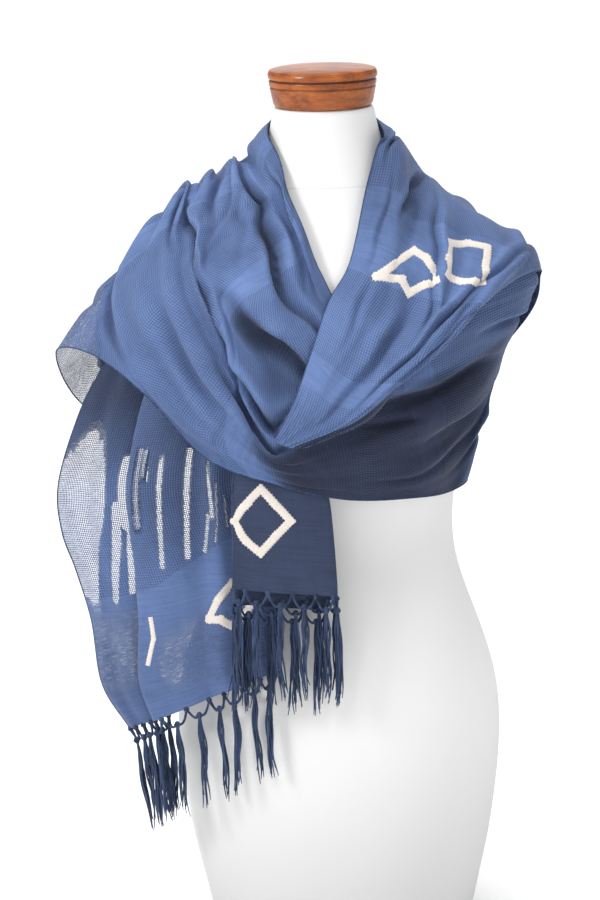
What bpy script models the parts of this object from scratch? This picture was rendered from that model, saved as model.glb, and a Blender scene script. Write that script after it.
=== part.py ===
"""Rebozo shawl wound round a limbless dress form, in metres, +Z up.

The front of the form faces -Y and +X is the viewer's right. The origin is the middle of the
form's underside. Tables are in millimetres. One long cloth makes every stretch: a net of
threads (rows along the length) and stations (sections across the width) gives its middle
surface, folds are added as named ridges and valleys, and the wall is raised on both sides.
"""

import math

import bpy
import numpy as np
from mathutils import Vector
from mathutils.bvhtree import BVHTree

MM = 0.001

# Cloth
WALL = 2.0                  # thickness of the cloth wall
SEAM = 0.3                  # gap where two stretches of the cloth meet
LIE_ON_FORM = 1.2           # air between the cloth and the form it rests on
LIE_ON_CLOTH = 2.4          # air between two folded stretches
LIE_ON_INNER = 6.2          # air between the two passes across the back
LIE_ON_FLAT = 0.6           # air over the flat narrow end
SPINE_TOP = 600.0           # above it the cloth is pushed out from one point, in all directions
FAR = 420.0                 # from there to well outside the cloth
FRONT_SHARE = 1.4           # how much more a stand-off counts to the front than sideways
TAKE_OVER = 6               # rows in which the roll leaves the outer pass's height

# Steps of each stretch along its length, and of all of them across it
WRAP_STEPS = (8, 35, 21, 23)    # inner pass, front pass, outer pass, roll
WRAP_COLUMNS = 25
WIDE_ROWS = 11
NARROW_ROWS = 6

# Fringe
KNOT_DROP = 17.0            # from the cloth's edge down to the knots
TASSEL_LENGTH = 112.0       # from the cloth's edge to the tip
STRIP_HEIGHT = 4.0          # woven strip that carries the tassels
STRIP_WALL = 1.8            # thickness of that strip
TASSEL_SWAY = 2.0           # how far a tassel's tip hangs to one side
TASSEL_WAIST = (0.6, 0.85)  # share of the length, and of the root's size there
TASSEL_TIP = 0.55           # share of the root's size at the tip
TASSEL_UNEVEN = 0.05        # how much the lengths differ

# Form and cap
FORM_SIDES = 32
FORM_RINGS = 27
CAP_SIDES = 24

# One row for each level of the form, bottom to top
FORM_SECTIONS = (
    # height, half width, front depth, back depth
    (0, 133, 92, 98),
    (5, 139, 97, 103),
    (50, 148, 105, 112),
    (100, 160, 112, 120),
    (160, 168, 118, 127),
    (218, 172, 120, 128),
    (265, 167, 119, 123),
    (317, 152, 111, 109),
    (370, 131, 98, 93),
    (415, 123, 92, 87),
    (460, 126, 98, 88),
    (510, 135, 111, 93),
    (560, 147, 126, 101),
    (600, 155, 131, 107),
    (645, 160, 126, 111),
    (690, 170, 110, 108),
    (716, 177, 95, 99),
    (733, 172, 86, 91),
    (747, 153, 79, 83),
    (760, 128, 72, 76),
    (775, 103, 66, 70),
    (792, 82, 60, 65),
    (812, 66, 55, 61),
    (835, 56, 51, 57),
    (864, 52, 49, 54),
)

# Turned outline of the neck cap, bottom to top
CAP_OUTLINE = (
    # radius, height
    (46.0, 864.3),
    (49.5, 865.5),
    (51.0, 868.5),
    (53.5, 881.0),
    (54.2, 884.0),
    (53.2, 885.2),
    (54.6, 886.4),
    (55.0, 891.0),
    (53.6, 892.6),
    (55.6, 894.2),
    (56.0, 898.0),
    (54.4, 901.8),
    (40.0, 904.2),
    (18.0, 905.4),
)

# How far the drape stands from the form's axis at each level
DRAPE = (
    # height, left, right, front, back
    (0, 280, 172, 130, 110),
    (430, 280, 130, 140, 112),
    (458, 280, 134, 146, 114),
    (490, 282, 144, 150, 118),
    (543, 284, 160, 152, 124),
    (604, 284, 178, 145, 130),
    (621, 282, 184, 140, 131),
    (671, 250, 213, 122, 128),
    (690, 238, 219, 115, 124),
    (706, 223, 217, 108, 119),
    (734, 187, 178, 95, 110),
    (756, 151, 149, 85, 102),
    (789, 130, 100, 70, 90),
    (806, 82, 86, 60, 84),
    (831, 62, 74, 48, 76),
    (860, 56, 62, 38, 66),
)
DRAPE_ROUNDNESS = 2.3

THREADS = ("neck edge", "collar", "deep fold", "cowl fold", "chest", "apron", "hem")

# Each station gives its name, how far it stands off the drape, then the across and the
# height of the neck edge, collar, deep fold, cowl fold, chest, apron and hem.
# Front pass, from the right side to the left shoulder
FRONT_STATIONS = (
    ("right side", 0, (204, 704), (212, 688), (205, 662),
     (187, 630), (173, 586), (156, 545), (135, 484)),
    ("right arm", -4, (150, 694), (158, 676), (160, 652),
     (157, 611), (148, 562), (137, 520), (120, 478)),
    ("right breast", -5, (78, 672), (82, 656), (84, 626),
     (87, 584), (91, 543), (91, 508), (86, 481)),
    ("middle", -6, (20, 668), (19, 648), (10, 604),
     (12, 559), (16, 529), (17, 506), (15, 486)),
    ("cowl", 0, (-9, 711), (-12, 674), (-53, 631),
     (-61, 543), (-60, 527), (-58, 515), (-54, 504)),
    ("left low", 0, (-24, 753), (-30, 721), (-89, 679),
     (-103, 628), (-127, 589), (-142, 565), (-127, 532)),
    ("left breast", 0, (-38, 788), (-49, 768), (-116, 721),
     (-136, 695), (-170, 666), (-196, 625), (-188, 595)),
    ("left high", 0, (-46, 817), (-64, 787), (-114, 764),
     (-145, 744), (-177, 724), (-227, 680), (-241, 629)),
    ("left shoulder", 0, (-56, 839), (-76, 810), (-99, 803),
     (-125, 791), (-150, 779), (-212, 718), (-282, 619)),
)

# Outer pass across the back, from the left shoulder to the right one
BACK_STATIONS = (
    ("left of back", 0, (-50, 846), (-80, 812), (-108, 783),
     (-148, 745), (-190, 690), (-230, 625), (-264, 552)),
    ("left blade", 0, (-27, 851), (-52, 806), (-80, 758),
     (-110, 702), (-140, 640), (-168, 572), (-192, 498)),
    ("spine", 0, (4, 853), (0, 802), (-5, 747),
     (-9, 690), (-12, 628), (-14, 558), (-15, 482)),
    ("right blade", 0, (34, 851), (50, 806), (68, 759),
     (84, 712), (98, 661), (112, 604), (122, 546)),
    ("right of back", 0, (52, 845), (76, 815), (104, 782),
     (136, 749), (167, 716), (192, 680), (203, 640)),
)

# Roll from the right shoulder down to the gathered point
ROLL_STATIONS = (
    ("right shoulder", 0, (61, 836), (79, 826), (98, 797),
     (123, 772), (156, 750), (200, 720), (215, 686)),
    ("top", 10, (51, 826), (67, 823), (86, 784),
     (114, 762), (153, 741), (193, 716), (206, 694)),
    ("collarbone", 14, (38, 786), (59, 779), (82, 754),
     (112, 735), (143, 717), (167, 702), (177, 689)),
    ("upper breast", 17, (27, 741), (50, 735), (73, 720),
     (102, 702), (125, 688), (143, 684), (149, 670)),
    ("breast", 20, (17, 713), (36, 701), (60, 685),
     (87, 671), (107, 664), (117, 661), (121, 649)),
    ("below breast", 22, (-2, 683), (19, 667), (41, 650),
     (66, 641), (82, 635), (89, 634), (92, 625)),
    ("twist", 22, (-18, 639), (-2, 627), (15, 611),
     (37, 607), (51, 606), (59, 607), (63, 601)),
    ("gather", 18, (-36, 591), (-24, 584), (-13, 574),
     (2, 568), (15, 570), (25, 573), (32, 570)),
    ("point", 15, (-55, 556), (-52, 552), (-48, 549),
     (-43, 547), (-38, 546), (-32, 546), (-26, 546)),
)
# Share of the station's stand-off that each thread of the roll takes
ROLL_PUFF = (0.30, 0.95, 0.80, 1.10, 1.20, 1.10, 0.25)
# How far each station of the roll is back to an even stand-off
ROLL_FLATTEN = (0.0, 0.0, 0.0, 0.0, 0.0, 0.0, 0.15, 0.7, 1.0)

# Inner pass across the back, from the left shoulder blade to the right side
INNER_STATIONS = (
    ("left blade", -8, (-80, 716), (-86, 692), (-92, 668),
     (-97, 642), (-101, 614), (-106, 586), (-110, 556)),
    ("spine", -9, (10, 700), (5, 672), (0, 642),
     (-5, 610), (-12, 575), (-18, 540), (-24, 500)),
    ("right blade", -9, (98, 692), (94, 662), (90, 628),
     (84, 590), (77, 550), (68, 508), (56, 464)),
    ("right of back", -3, (162, 694), (166, 674), (164, 646),
     (156, 610), (148, 568), (134, 522), (114, 470)),
)

# Ridges (+) and valleys (-) that run along the threads
FRONT_FOLDS = (
    # name, thread, from station, to station, half width, height
    ("collar roll", 0.45, 3.0, 9.4, 0.38, 5),
    ("collar crease", 1.0, 3.4, 8.6, 0.32, -9),
    ("deep fold lip", 1.5, 3.4, 6.8, 0.36, 6),
    ("deep fold", 2.05, 2.8, 6.4, 0.36, -19),
    ("second fold", 2.62, 3.2, 5.4, 0.26, -8),
    ("cowl valley", 3.0, 3.6, 7.4, 0.30, -15),
    ("cowl lip", 3.4, 3.4, 7.6, 0.30, 6),
    ("first pleat", 1.5, 6.7, 9.2, 0.30, 7),
    ("pleat notch", 2.05, 6.9, 9.0, 0.28, -7),
    ("second pleat", 2.6, 6.6, 9.2, 0.32, 7),
    ("outer notch", 3.15, 7.2, 9.0, 0.28, -5),
    ("outer pleat", 3.75, 6.8, 9.2, 0.34, 6),
    ("flare valley", 5.1, 5.8, 8.4, 0.42, -11),
    ("right crease", 3.0, 0.2, 2.9, 0.32, -6),
    ("right ridge", 3.6, 0.2, 2.8, 0.36, 4),
    ("lower crease", 4.4, 0.0, 2.4, 0.34, -5),
)
BACK_FOLDS = (
    ("nape roll", 0.4, -0.6, 6.6, 0.40, 6),
    ("nape crease", 1.1, 0.8, 5.0, 0.34, -7),
    ("upper ridge", 1.8, -0.6, 3.6, 0.34, 7),
    ("long crease", 2.5, 0.2, 5.6, 0.34, -8),
    ("blade ridge", 3.2, 0.6, 6.6, 0.36, 7),
    ("middle crease", 4.0, -0.4, 4.4, 0.34, -7),
    ("lower ridge", 4.8, 0.4, 5.8, 0.38, 6),
    ("hem crease", 5.5, 1.0, 4.6, 0.30, -4),
)
ROLL_FOLDS = (
    ("neck valley", 1.95, -0.8, 3.2, 0.34, -9),
    ("long crease", 2.4, 2.6, 7.4, 0.34, -8),
    ("diamond crease", 3.3, 0.6, 4.6, 0.28, -6),
    ("crown", 4.0, 2.0, 7.2, 0.40, 4),
    ("crest", 4.9, -0.4, 6.8, 0.34, 6),
)
INNER_FOLDS = (
    ("side crease", 3.0, 0.0, 3.0, 0.5, -4),
    ("low ridge", 4.6, 0.2, 3.6, 0.5, 3),
)

# Wide end, top to bottom: each level runs from the left edge to the hidden right edge
WIDE_END_LEVELS = (
    # left across, depth, height, right across, depth, height, fold share, overlap, pleat place
    (-174, -26, 714, -92, -77, 728, 0.30, 0.0, 0.46),
    (-198, -42, 668, -84, -112, 690, 0.60, 0.0, 0.46),
    (-232, -52, 610, -76, -122, 640, 1.15, 0.6, 0.44),
    (-256, -50, 566, -70, -122, 590, 1.05, 1.0, 0.42),
    (-282, -44, 489, -66, -116, 520, 1.00, 1.0, 0.40),
    (-281, -44, 438, -64, -112, 465, 1.00, 1.0, 0.39),
    (-268, -46, 396, -62, -112, 425, 1.00, 1.0, 0.36),
    (-254, -50, 342, -62, -115, 380, 1.00, 1.0, 0.32),
    (-246, -54, 274, -62, -119, 335, 0.95, 1.0, 0.28),
    (-219, -60, 228, -62, -122, 304, 0.95, 1.0, 0.24),
)
WIDE_END_BOW = 14.0         # how far the level bows outwards
# Path of the wide end's section across its width, at equal steps of cloth: a flat left
# panel that runs under the pleat, the turn back, then a waved right panel that lies over it
WIDE_END_PLEATS = (
    # share of the cloth, moved along by the overlap, out from the level
    (0.00, 0.00, 0),
    (0.06, 0.03, 3),
    (0.12, 0.05, 1),
    (0.18, 0.07, 4),
    (0.24, 0.10, 0),
    (0.30, 0.12, -6),
    (0.35, 0.13, -7),
    (0.39, 0.10, -3),
    (0.43, 0.02, -1),
    (0.47, -0.06, 2),
    (0.51, -0.07, 7),
    (0.57, -0.03, 8),
    (0.64, -0.01, 5),
    (0.71, 0.00, -3),
    (0.79, 0.00, 5),
    (0.87, 0.00, -4),
    (0.94, 0.00, 3),
    (1.00, 0.00, 0),
)
PLEAT_EDGE = 0.46           # place of the pleat's edge on the untouched path

# Narrow end, top to bottom
NARROW_END_LEVELS = (
    # left edge, right edge, height at left, height at right, depth
    (-98, -16, 532, 530, -142),
    (-102, -9, 512, 508, -144),
    (-104, -4, 488, 484, -146),
    (-105, -1, 450, 446, -147),
    (-106, 1, 420, 414, -148),
    (-107, 1, 399, 395, -149),
)
# Path of the folded bundle's section: front layer first
NARROW_END_LAYERS = (
    # share of the width, behind the front layer
    (0.02, 1.6),
    (0.12, 0.2),
    (0.30, -0.6),
    (0.50, -0.8),
    (0.70, -0.2),
    (0.88, 0.2),
    (0.98, 1.8),
    (0.98, 5.2),
    (0.88, 6.8),
    (0.70, 7.0),
    (0.50, 6.4),
    (0.30, 6.6),
    (0.12, 7.0),
    (0.02, 8.6),
    (0.02, 12.0),
    (0.12, 13.6),
    (0.30, 14.0),
    (0.50, 13.4),
    (0.70, 13.8),
    (0.90, 13.6),
)
LAYER_STAGGER = 26.0        # how much lower the last layer of the narrow end hangs

# Tassels
WIDE_TASSELS = 13
NARROW_TASSELS = 17
WIDE_CELLS = 4              # steps of the cloth's edge from one tassel to the next
NARROW_CELLS = 3


def remove_objects():
    """Clear the scene."""
    for old in list(bpy.data.objects):
        bpy.data.objects.remove(old, do_unlink=True)


def material(name, colour, roughness, coat=0.0):
    """A plain Principled material."""
    made = bpy.data.materials.new(name)
    made.use_nodes = True
    shader = made.node_tree.nodes["Principled BSDF"]
    shader.inputs["Base Color"].default_value = (*colour, 1.0)
    shader.inputs["Roughness"].default_value = roughness
    shader.inputs["Metallic"].default_value = 0.0
    shader.inputs["Coat Weight"].default_value = coat
    return made


def add_mesh(name, points, faces, finish):
    """Make an object of points in millimetres."""
    mesh = bpy.data.meshes.new(name)
    mesh.from_pydata([Vector(p) * MM for p in points], [], faces)
    mesh.update()
    mesh.shade_smooth()
    mesh.set_sharp_from_angle(angle=math.radians(50))
    mesh.materials.append(finish)
    made = bpy.data.objects.new(name, mesh)
    bpy.context.scene.collection.objects.link(made)
    return made


def grid_tree(grid):
    """Search tree of a grid's middle surface."""
    rows, columns = grid.shape[:2]
    points = [Vector(p) for p in grid.reshape(-1, 3)]
    quads = []
    for i in range(rows - 1):
        for j in range(columns - 1):
            at = i * columns + j
            quads.append((at, at + columns, at + columns + 1, at + 1))
    return BVHTree.FromPolygons(points, quads)


def smooth_rows(rows, places):
    """Catmull-Rom curve through the rows of an array, read at places counted in rows."""
    rows = np.asarray(rows, float)
    last = len(rows) - 1
    padded = np.concatenate([[2 * rows[0] - rows[1]], rows, [2 * rows[-1] - rows[-2]]])
    out = []
    for place in places:
        start = min(max(int(math.floor(place)), 0), last - 1)
        t = place - start
        a, b, c, d = padded[start:start + 4]
        out.append(0.5 * (2 * b + (c - a) * t + (2 * a - 5 * b + 4 * c - d) * t * t
                          + (3 * b - a - 3 * c + d) * t ** 3))
    return np.array(out)


def smooth_net(net, station_places, thread_places):
    """Read a net of control points at finer stations and threads."""
    along = smooth_rows(net, station_places)
    across = smooth_rows(np.swapaxes(along, 0, 1), thread_places)
    return np.swapaxes(across, 0, 1)


def drape_depth(across, height, facing):
    """Depth of the drape at a place seen from the front (-1) or the back (1)."""
    table = np.array(DRAPE, float)
    side = np.interp(height, table[:, 0], table[:, 1 if across < 0 else 2])
    reach = np.interp(height, table[:, 0], table[:, 3 if facing < 0 else 4])
    share = min(abs(across) / side, 1.0)
    return facing * reach * (1 - share ** DRAPE_ROUNDNESS) ** (1 / DRAPE_ROUNDNESS)


def net_of(stations, facing, flatten=None):
    """Control net in space from the tables of across and height.

    With flatten, each thread takes its own share of the stand-off from ROLL_PUFF, and the
    station's flatten value brings it back towards an even one.
    """
    net = []
    for number, row in enumerate(stations):
        stand_off = row[1]
        section = []
        for thread, (across, height) in enumerate(row[2:]):
            depth = drape_depth(across, height, facing)
            share = 1.0
            if flatten is not None:
                even = flatten[number]
                share = even + (1.0 - even) * ROLL_PUFF[thread]
            flat = Vector((across, depth * FRONT_SHARE, 0.0))
            push = flat.normalized() * (stand_off * share) if flat.length > 1 else Vector()
            section.append((across + push.x, depth + push.y, height))
        net.append(section)
    return np.array(net)


def spine_points(grid):
    """Points inside the form from which the cloth is pushed out."""
    middle = np.zeros_like(grid)
    middle[:, :, 2] = np.minimum(grid[:, :, 2], SPINE_TOP)
    return middle


def normals_of(grid):
    """Unit normals of a grid of points, pointing away from the form's axis."""
    along = np.gradient(grid, axis=0)
    across = np.gradient(grid, axis=1)
    normal = np.cross(along, across)
    normal /= np.maximum(np.linalg.norm(normal, axis=2, keepdims=True), 1e-9)
    outward = np.sum(normal * (grid - spine_points(grid)), axis=2).mean()
    return normal if outward > 0 else -normal


def raise_folds(grid, folds, station_places, thread_places):
    """Add ridges and valleys along the threads."""
    relief = np.zeros(grid.shape[:2])
    stations = np.asarray(station_places)[:, None]
    threads = np.asarray(thread_places)[None, :]
    for _, thread, start, end, width, height in folds:
        share = np.clip((stations - start) / (end - start), 0.0, 1.0)
        swell = np.sin(math.pi * share) ** 0.8
        relief += height * swell * np.exp(-((threads - thread) / width) ** 2)
    return grid + normals_of(grid) * relief[:, :, None]


def spread(values, pick):
    """Take the widest or the mean value round each place of a grid of values."""
    padded = np.pad(values, 1, mode="edge")
    rows, columns = values.shape
    return pick([padded[i:i + rows, j:j + columns] for i in range(3) for j in range(3)], axis=0)


def soften(lift):
    """Ease a lift into its surroundings, never below its own size."""
    return np.maximum(spread(spread(lift, np.max), np.mean), lift)


def lift_clear(grid, layers):
    """How far each point of a grid is pushed out to clear the layers under it.

    A layer is a search tree and the air that the cloth keeps outside it.
    """
    middle = spine_points(grid)
    outward = grid - middle
    reach = np.linalg.norm(outward, axis=2)
    outward = outward / reach[:, :, None]
    lift = np.zeros(grid.shape[:2])
    for i in range(grid.shape[0]):
        for j in range(grid.shape[1]):
            direction = Vector(outward[i, j])
            start = Vector(middle[i, j]) + direction * FAR
            for tree, air in layers:
                distance = tree.ray_cast(start, -direction, FAR)[3]
                if distance is not None:
                    clear = FAR - distance + air + WALL / 2
                    lift[i, j] = max(lift[i, j], clear - reach[i, j])
    return lift


def push_out(grid, lift):
    """Move a grid outwards by its lift."""
    outward = grid - spine_points(grid)
    outward /= np.linalg.norm(outward, axis=2, keepdims=True)
    return grid + outward * lift[:, :, None]


def cloth_wall(name, grid, normal, finish):
    """Closed wall of the cloth's thickness round a grid of middle points."""
    rows, columns = grid.shape[:2]
    sides = np.stack([grid + normal * WALL / 2, grid - normal * WALL / 2])
    points = [tuple(p) for p in sides.reshape(-1, 3)]

    def at(i, j, side):
        return side * rows * columns + i * columns + j

    quads = []
    for i in range(rows - 1):
        for j in range(columns - 1):
            quads.append((at(i, j, 0), at(i + 1, j, 0), at(i + 1, j + 1, 0), at(i, j + 1, 0)))
            quads.append((at(i, j, 1), at(i, j + 1, 1), at(i + 1, j + 1, 1), at(i + 1, j, 1)))
    right = columns - 1
    bottom = rows - 1
    for i in range(rows - 1):
        quads.append((at(i, 0, 0), at(i, 0, 1), at(i + 1, 0, 1), at(i + 1, 0, 0)))
        quads.append((at(i, right, 0), at(i + 1, right, 0), at(i + 1, right, 1), at(i, right, 1)))
    for j in range(columns - 1):
        quads.append((at(0, j, 0), at(0, j + 1, 0), at(0, j + 1, 1), at(0, j, 1)))
        quads.append((at(bottom, j, 0), at(bottom, j, 1),
                      at(bottom, j + 1, 1), at(bottom, j + 1, 0)))
    return add_closed(name, points, quads, finish)


def add_closed(name, points, faces, finish):
    """Add a closed body with its faces turned outwards."""
    volume = 0.0
    for face in faces:
        a = Vector(points[face[0]])
        for k in range(1, len(face) - 1):
            volume += a.dot(Vector(points[face[k]]).cross(Vector(points[face[k + 1]])))
    if volume < 0:
        faces = [tuple(reversed(face)) for face in faces]
    return add_mesh(name, points, faces, finish)


def ring_faces(rings, sides):
    """Faces of a closed body made of rings, each turning from +X towards +Y."""
    faces = [tuple(reversed(range(sides)))]
    for i in range(rings - 1):
        for k in range(sides):
            after = (k + 1) % sides
            faces.append((i * sides + k, i * sides + after,
                          (i + 1) * sides + after, (i + 1) * sides + k))
    top = (rings - 1) * sides
    faces.append(tuple(range(top, top + sides)))
    return faces


def build_form(finish):
    """Dress form: one smooth body with a flat underside."""
    rings = smooth_rows(FORM_SECTIONS, np.linspace(0, len(FORM_SECTIONS) - 1, FORM_RINGS))
    points = []
    for height, width, front, back in rings:
        for k in range(FORM_SIDES):
            turn = 2 * math.pi * k / FORM_SIDES
            depth = back if math.sin(turn) > 0 else front
            points.append((width * math.cos(turn), depth * math.sin(turn), height))
    faces = ring_faces(len(rings), FORM_SIDES)
    tree = BVHTree.FromPolygons([Vector(p) for p in points], faces)
    add_mesh("form_body", points, faces, finish)
    return tree


def build_cap(finish):
    """Turned wooden cap on the neck."""
    points = []
    for radius, height in CAP_OUTLINE:
        for k in range(CAP_SIDES):
            turn = 2 * math.pi * k / CAP_SIDES
            points.append((radius * math.cos(turn), radius * math.sin(turn), height))
    add_mesh("neck_cap", points, ring_faces(len(CAP_OUTLINE), CAP_SIDES), finish)


def wide_end_grid(levels, columns):
    """Middle surface of the wide end, top to bottom, left edge to right edge."""
    rows = smooth_rows(WIDE_END_LEVELS, np.linspace(0, len(WIDE_END_LEVELS) - 1, levels))
    steps = np.interp(np.linspace(0, 1, columns), [r[0] for r in WIDE_END_PLEATS],
                      np.arange(len(WIDE_END_PLEATS)))
    path = smooth_rows(WIDE_END_PLEATS, steps)
    grid = np.zeros((levels, columns, 3))
    for i, row in enumerate(rows):
        left = row[0:3]
        run = row[3:6] - left
        out = np.array((run[1], -run[0], 0.0))
        out /= np.linalg.norm(out)
        for j, (share, shift, fold) in enumerate(path):
            along = np.interp(share + shift * row[7], (0, PLEAT_EDGE, 1), (0, row[8], 1))
            bow = WIDE_END_BOW * math.sin(math.pi * share)
            grid[i, j] = left + run * along + out * (fold * row[6] + bow)
    return grid


def narrow_end_grid(levels, columns):
    """Middle surface of the narrow end, top to bottom, front layer to back layer."""
    rows = smooth_rows(NARROW_END_LEVELS, np.linspace(0, len(NARROW_END_LEVELS) - 1, levels))
    path = smooth_rows(NARROW_END_LAYERS, np.linspace(0, len(NARROW_END_LAYERS) - 1, columns))
    grid = np.zeros((levels, columns, 3))
    for i, (left, right, low_left, low_right, depth) in enumerate(rows):
        fall = LAYER_STAGGER * i / (levels - 1)
        for j, (share, behind) in enumerate(path):
            height = low_left + (low_right - low_left) * share
            height -= fall * j / (columns - 1)
            grid[i, j] = (left + (right - left) * share, depth + behind, height)
    return grid


def build_fringe(name, grid, normal, cells, finish):
    """Strip that follows the cloth's bottom edge, with tassels hanging from it.

    Each tassel grows from one face of the strip's underside, so strip and tassels are
    one closed body.
    """
    edge = grid[-1]
    down = edge - grid[-2]
    down /= np.linalg.norm(down, axis=1, keepdims=True)
    across = normal[-1] * STRIP_WALL / 2
    top = edge + down * SEAM
    low = edge + down * (SEAM + STRIP_HEIGHT)
    points = []
    for k in range(len(edge)):
        points += [tuple(top[k] + across[k]), tuple(top[k] - across[k]),
                   tuple(low[k] - across[k]), tuple(low[k] + across[k])]
    faces = [(0, 1, 2, 3)]
    for i in range(len(edge) - 1):
        a, b = 4 * i, 4 * (i + 1)
        faces.append((a, b, b + 1, a + 1))
        faces.append((a + 1, b + 1, b + 2, a + 2))
        faces.append((a + 3, b + 3, b, a))
        root = (a + 2, b + 2, b + 3, a + 3)
        if i % cells == cells // 2:
            add_tassel(points, faces, root, i // cells)
        else:
            faces.append(root)
    end = 4 * (len(edge) - 1)
    faces.append((end + 3, end + 2, end + 1, end))
    add_closed(name, points, faces, finish)


def add_tassel(points, faces, root, number):
    """Grow one tassel down from the four corners of its root."""
    corners = [Vector(points[c]) for c in root]
    middle = sum(corners, Vector()) / 4
    sway = TASSEL_SWAY * math.sin(number * 2.3)
    length = TASSEL_LENGTH * (1.0 + TASSEL_UNEVEN * math.sin(number * 1.7))
    waist, waist_size = TASSEL_WAIST
    above = root
    for drop, swell in ((KNOT_DROP, 1.0), (length * waist, waist_size), (length, TASSEL_TIP)):
        ring = []
        for corner in corners:
            flat = corner - middle
            flat.z = 0.0
            shift = Vector((sway * (drop / length) ** 2, 0.0, STRIP_HEIGHT - drop))
            points.append(tuple(middle + flat * swell + shift))
            ring.append(len(points) - 1)
        for k in range(4):
            after = (k + 1) % 4
            faces.append((above[k], above[after], ring[after], ring[k]))
        above = tuple(ring)
    faces.append(above)


def main():
    """Build the form, the cap, each stretch of the cloth and the two fringes."""
    remove_objects()
    white = material("form_white", (0.86, 0.86, 0.86), 0.45)
    wood = material("cap_wood", (0.30, 0.09, 0.04), 0.25, 0.6)
    indigo = material("rebozo_indigo", (0.075, 0.125, 0.27), 0.85)
    yarn = material("fringe_navy", (0.035, 0.055, 0.12), 0.8)

    form = build_form(white)
    build_cap(wood)

    wide = wide_end_grid(WIDE_ROWS, WIDE_TASSELS * WIDE_CELLS + 1)
    wide = push_out(wide, soften(lift_clear(wide, [(form, LIE_ON_FLAT)])))
    wide_normal = normals_of(wide)
    cloth_wall("shawl_end_wide", wide, wide_normal, indigo)
    build_fringe("fringe_wide", wide, wide_normal, WIDE_CELLS, yarn)

    narrow = narrow_end_grid(NARROW_ROWS, NARROW_TASSELS * NARROW_CELLS + 1)
    narrow_normal = normals_of(narrow)
    cloth_wall("shawl_end_narrow", narrow, narrow_normal, indigo)
    build_fringe("fringe_narrow", narrow, narrow_normal, NARROW_CELLS, yarn)

    form_layer = (form, LIE_ON_FORM)
    ends = [cloth_layer(wide, LIE_ON_CLOTH), cloth_layer(narrow, LIE_ON_FLAT)]
    build_wrap(form_layer, ends, indigo)


def build_wrap(form, ends, finish):
    """Inner pass, front pass, outer back pass and roll, from one net of threads."""
    nets = [net_of(INNER_STATIONS, 1), net_of(FRONT_STATIONS, -1),
            net_of(BACK_STATIONS, 1), net_of(ROLL_STATIONS, -1, ROLL_FLATTEN)]
    net = np.concatenate(nets)
    inner_end = len(nets[0])
    front_end = inner_end + len(nets[1]) - 1
    back_end = front_end + len(nets[2]) + 1
    seams = (0, inner_end, front_end, back_end, len(net) - 1)
    places = [0.0]
    for stretch, steps in enumerate(WRAP_STEPS):
        places += list(np.linspace(seams[stretch], seams[stretch + 1], steps + 1)[1:])
    threads = np.linspace(0, len(THREADS) - 1, WRAP_COLUMNS)
    folds = []
    for table, offset in ((INNER_FOLDS, 0), (FRONT_FOLDS, inner_end),
                          (BACK_FOLDS, front_end), (ROLL_FOLDS, back_end)):
        for name, thread, start, end, width, height in table:
            folds.append((name, thread, start + offset, end + offset, width, height))
    grid = raise_folds(smooth_net(net, places, threads), folds, places, threads)

    turns = np.concatenate([[0], np.cumsum(WRAP_STEPS)])
    inner, front, back, roll = [slice(turns[k], turns[k + 1] + 1) for k in range(4)]
    under = [form] + ends
    lift = np.zeros(grid.shape[:2])
    lift[:turns[2] + 1] = lift_clear(grid[:turns[2] + 1], under)
    inner_layer = cloth_layer(push_out(grid[inner], soften(lift[inner])), LIE_ON_INNER)
    lift[back] = np.maximum(lift[back], lift_clear(grid[back], under + [inner_layer]))
    settled = slice(0, turns[3] + 1)
    lift[settled] = soften(lift[settled])
    front_layer = cloth_layer(push_out(grid[front], lift[front]), LIE_ON_CLOTH)
    over_front = soften(lift_clear(grid[roll], [form, front_layer, inner_layer]))
    share = np.clip(1 - np.arange(len(over_front)) / TAKE_OVER, 0, 1)
    from_back = lift[turns[3]] * share[:, None]
    lift[turns[3] + 1:] = np.maximum(over_front, from_back)[1:]
    grid = push_out(grid, lift)

    normal = normals_of(grid)
    for name, rows in (("shawl_back_inner", inner), ("shawl_front_wrap", front),
                       ("shawl_back_outer", back), ("shawl_right_roll", roll)):
        stretch = grid[rows].copy()
        if rows.start > 0:
            draw_in(stretch, 0, 1)
        if rows.stop < len(grid):
            draw_in(stretch, -1, -2)
        cloth_wall(name, stretch, normal[rows], finish)


def cloth_layer(grid, air):
    """A stretch of cloth as something that others lie on."""
    return (grid_tree(grid), WALL / 2 + air)


def draw_in(stretch, row, beside):
    """Move an end row in by half the seam's gap."""
    step = stretch[beside] - stretch[row]
    stretch[row] += step * (SEAM / 2 / np.linalg.norm(step, axis=1, keepdims=True))


main()
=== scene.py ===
import functools
import math

import bmesh
import bpy
import numpy as np
from mathutils import Matrix, Vector
from mathutils.bvhtree import BVHTree


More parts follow.
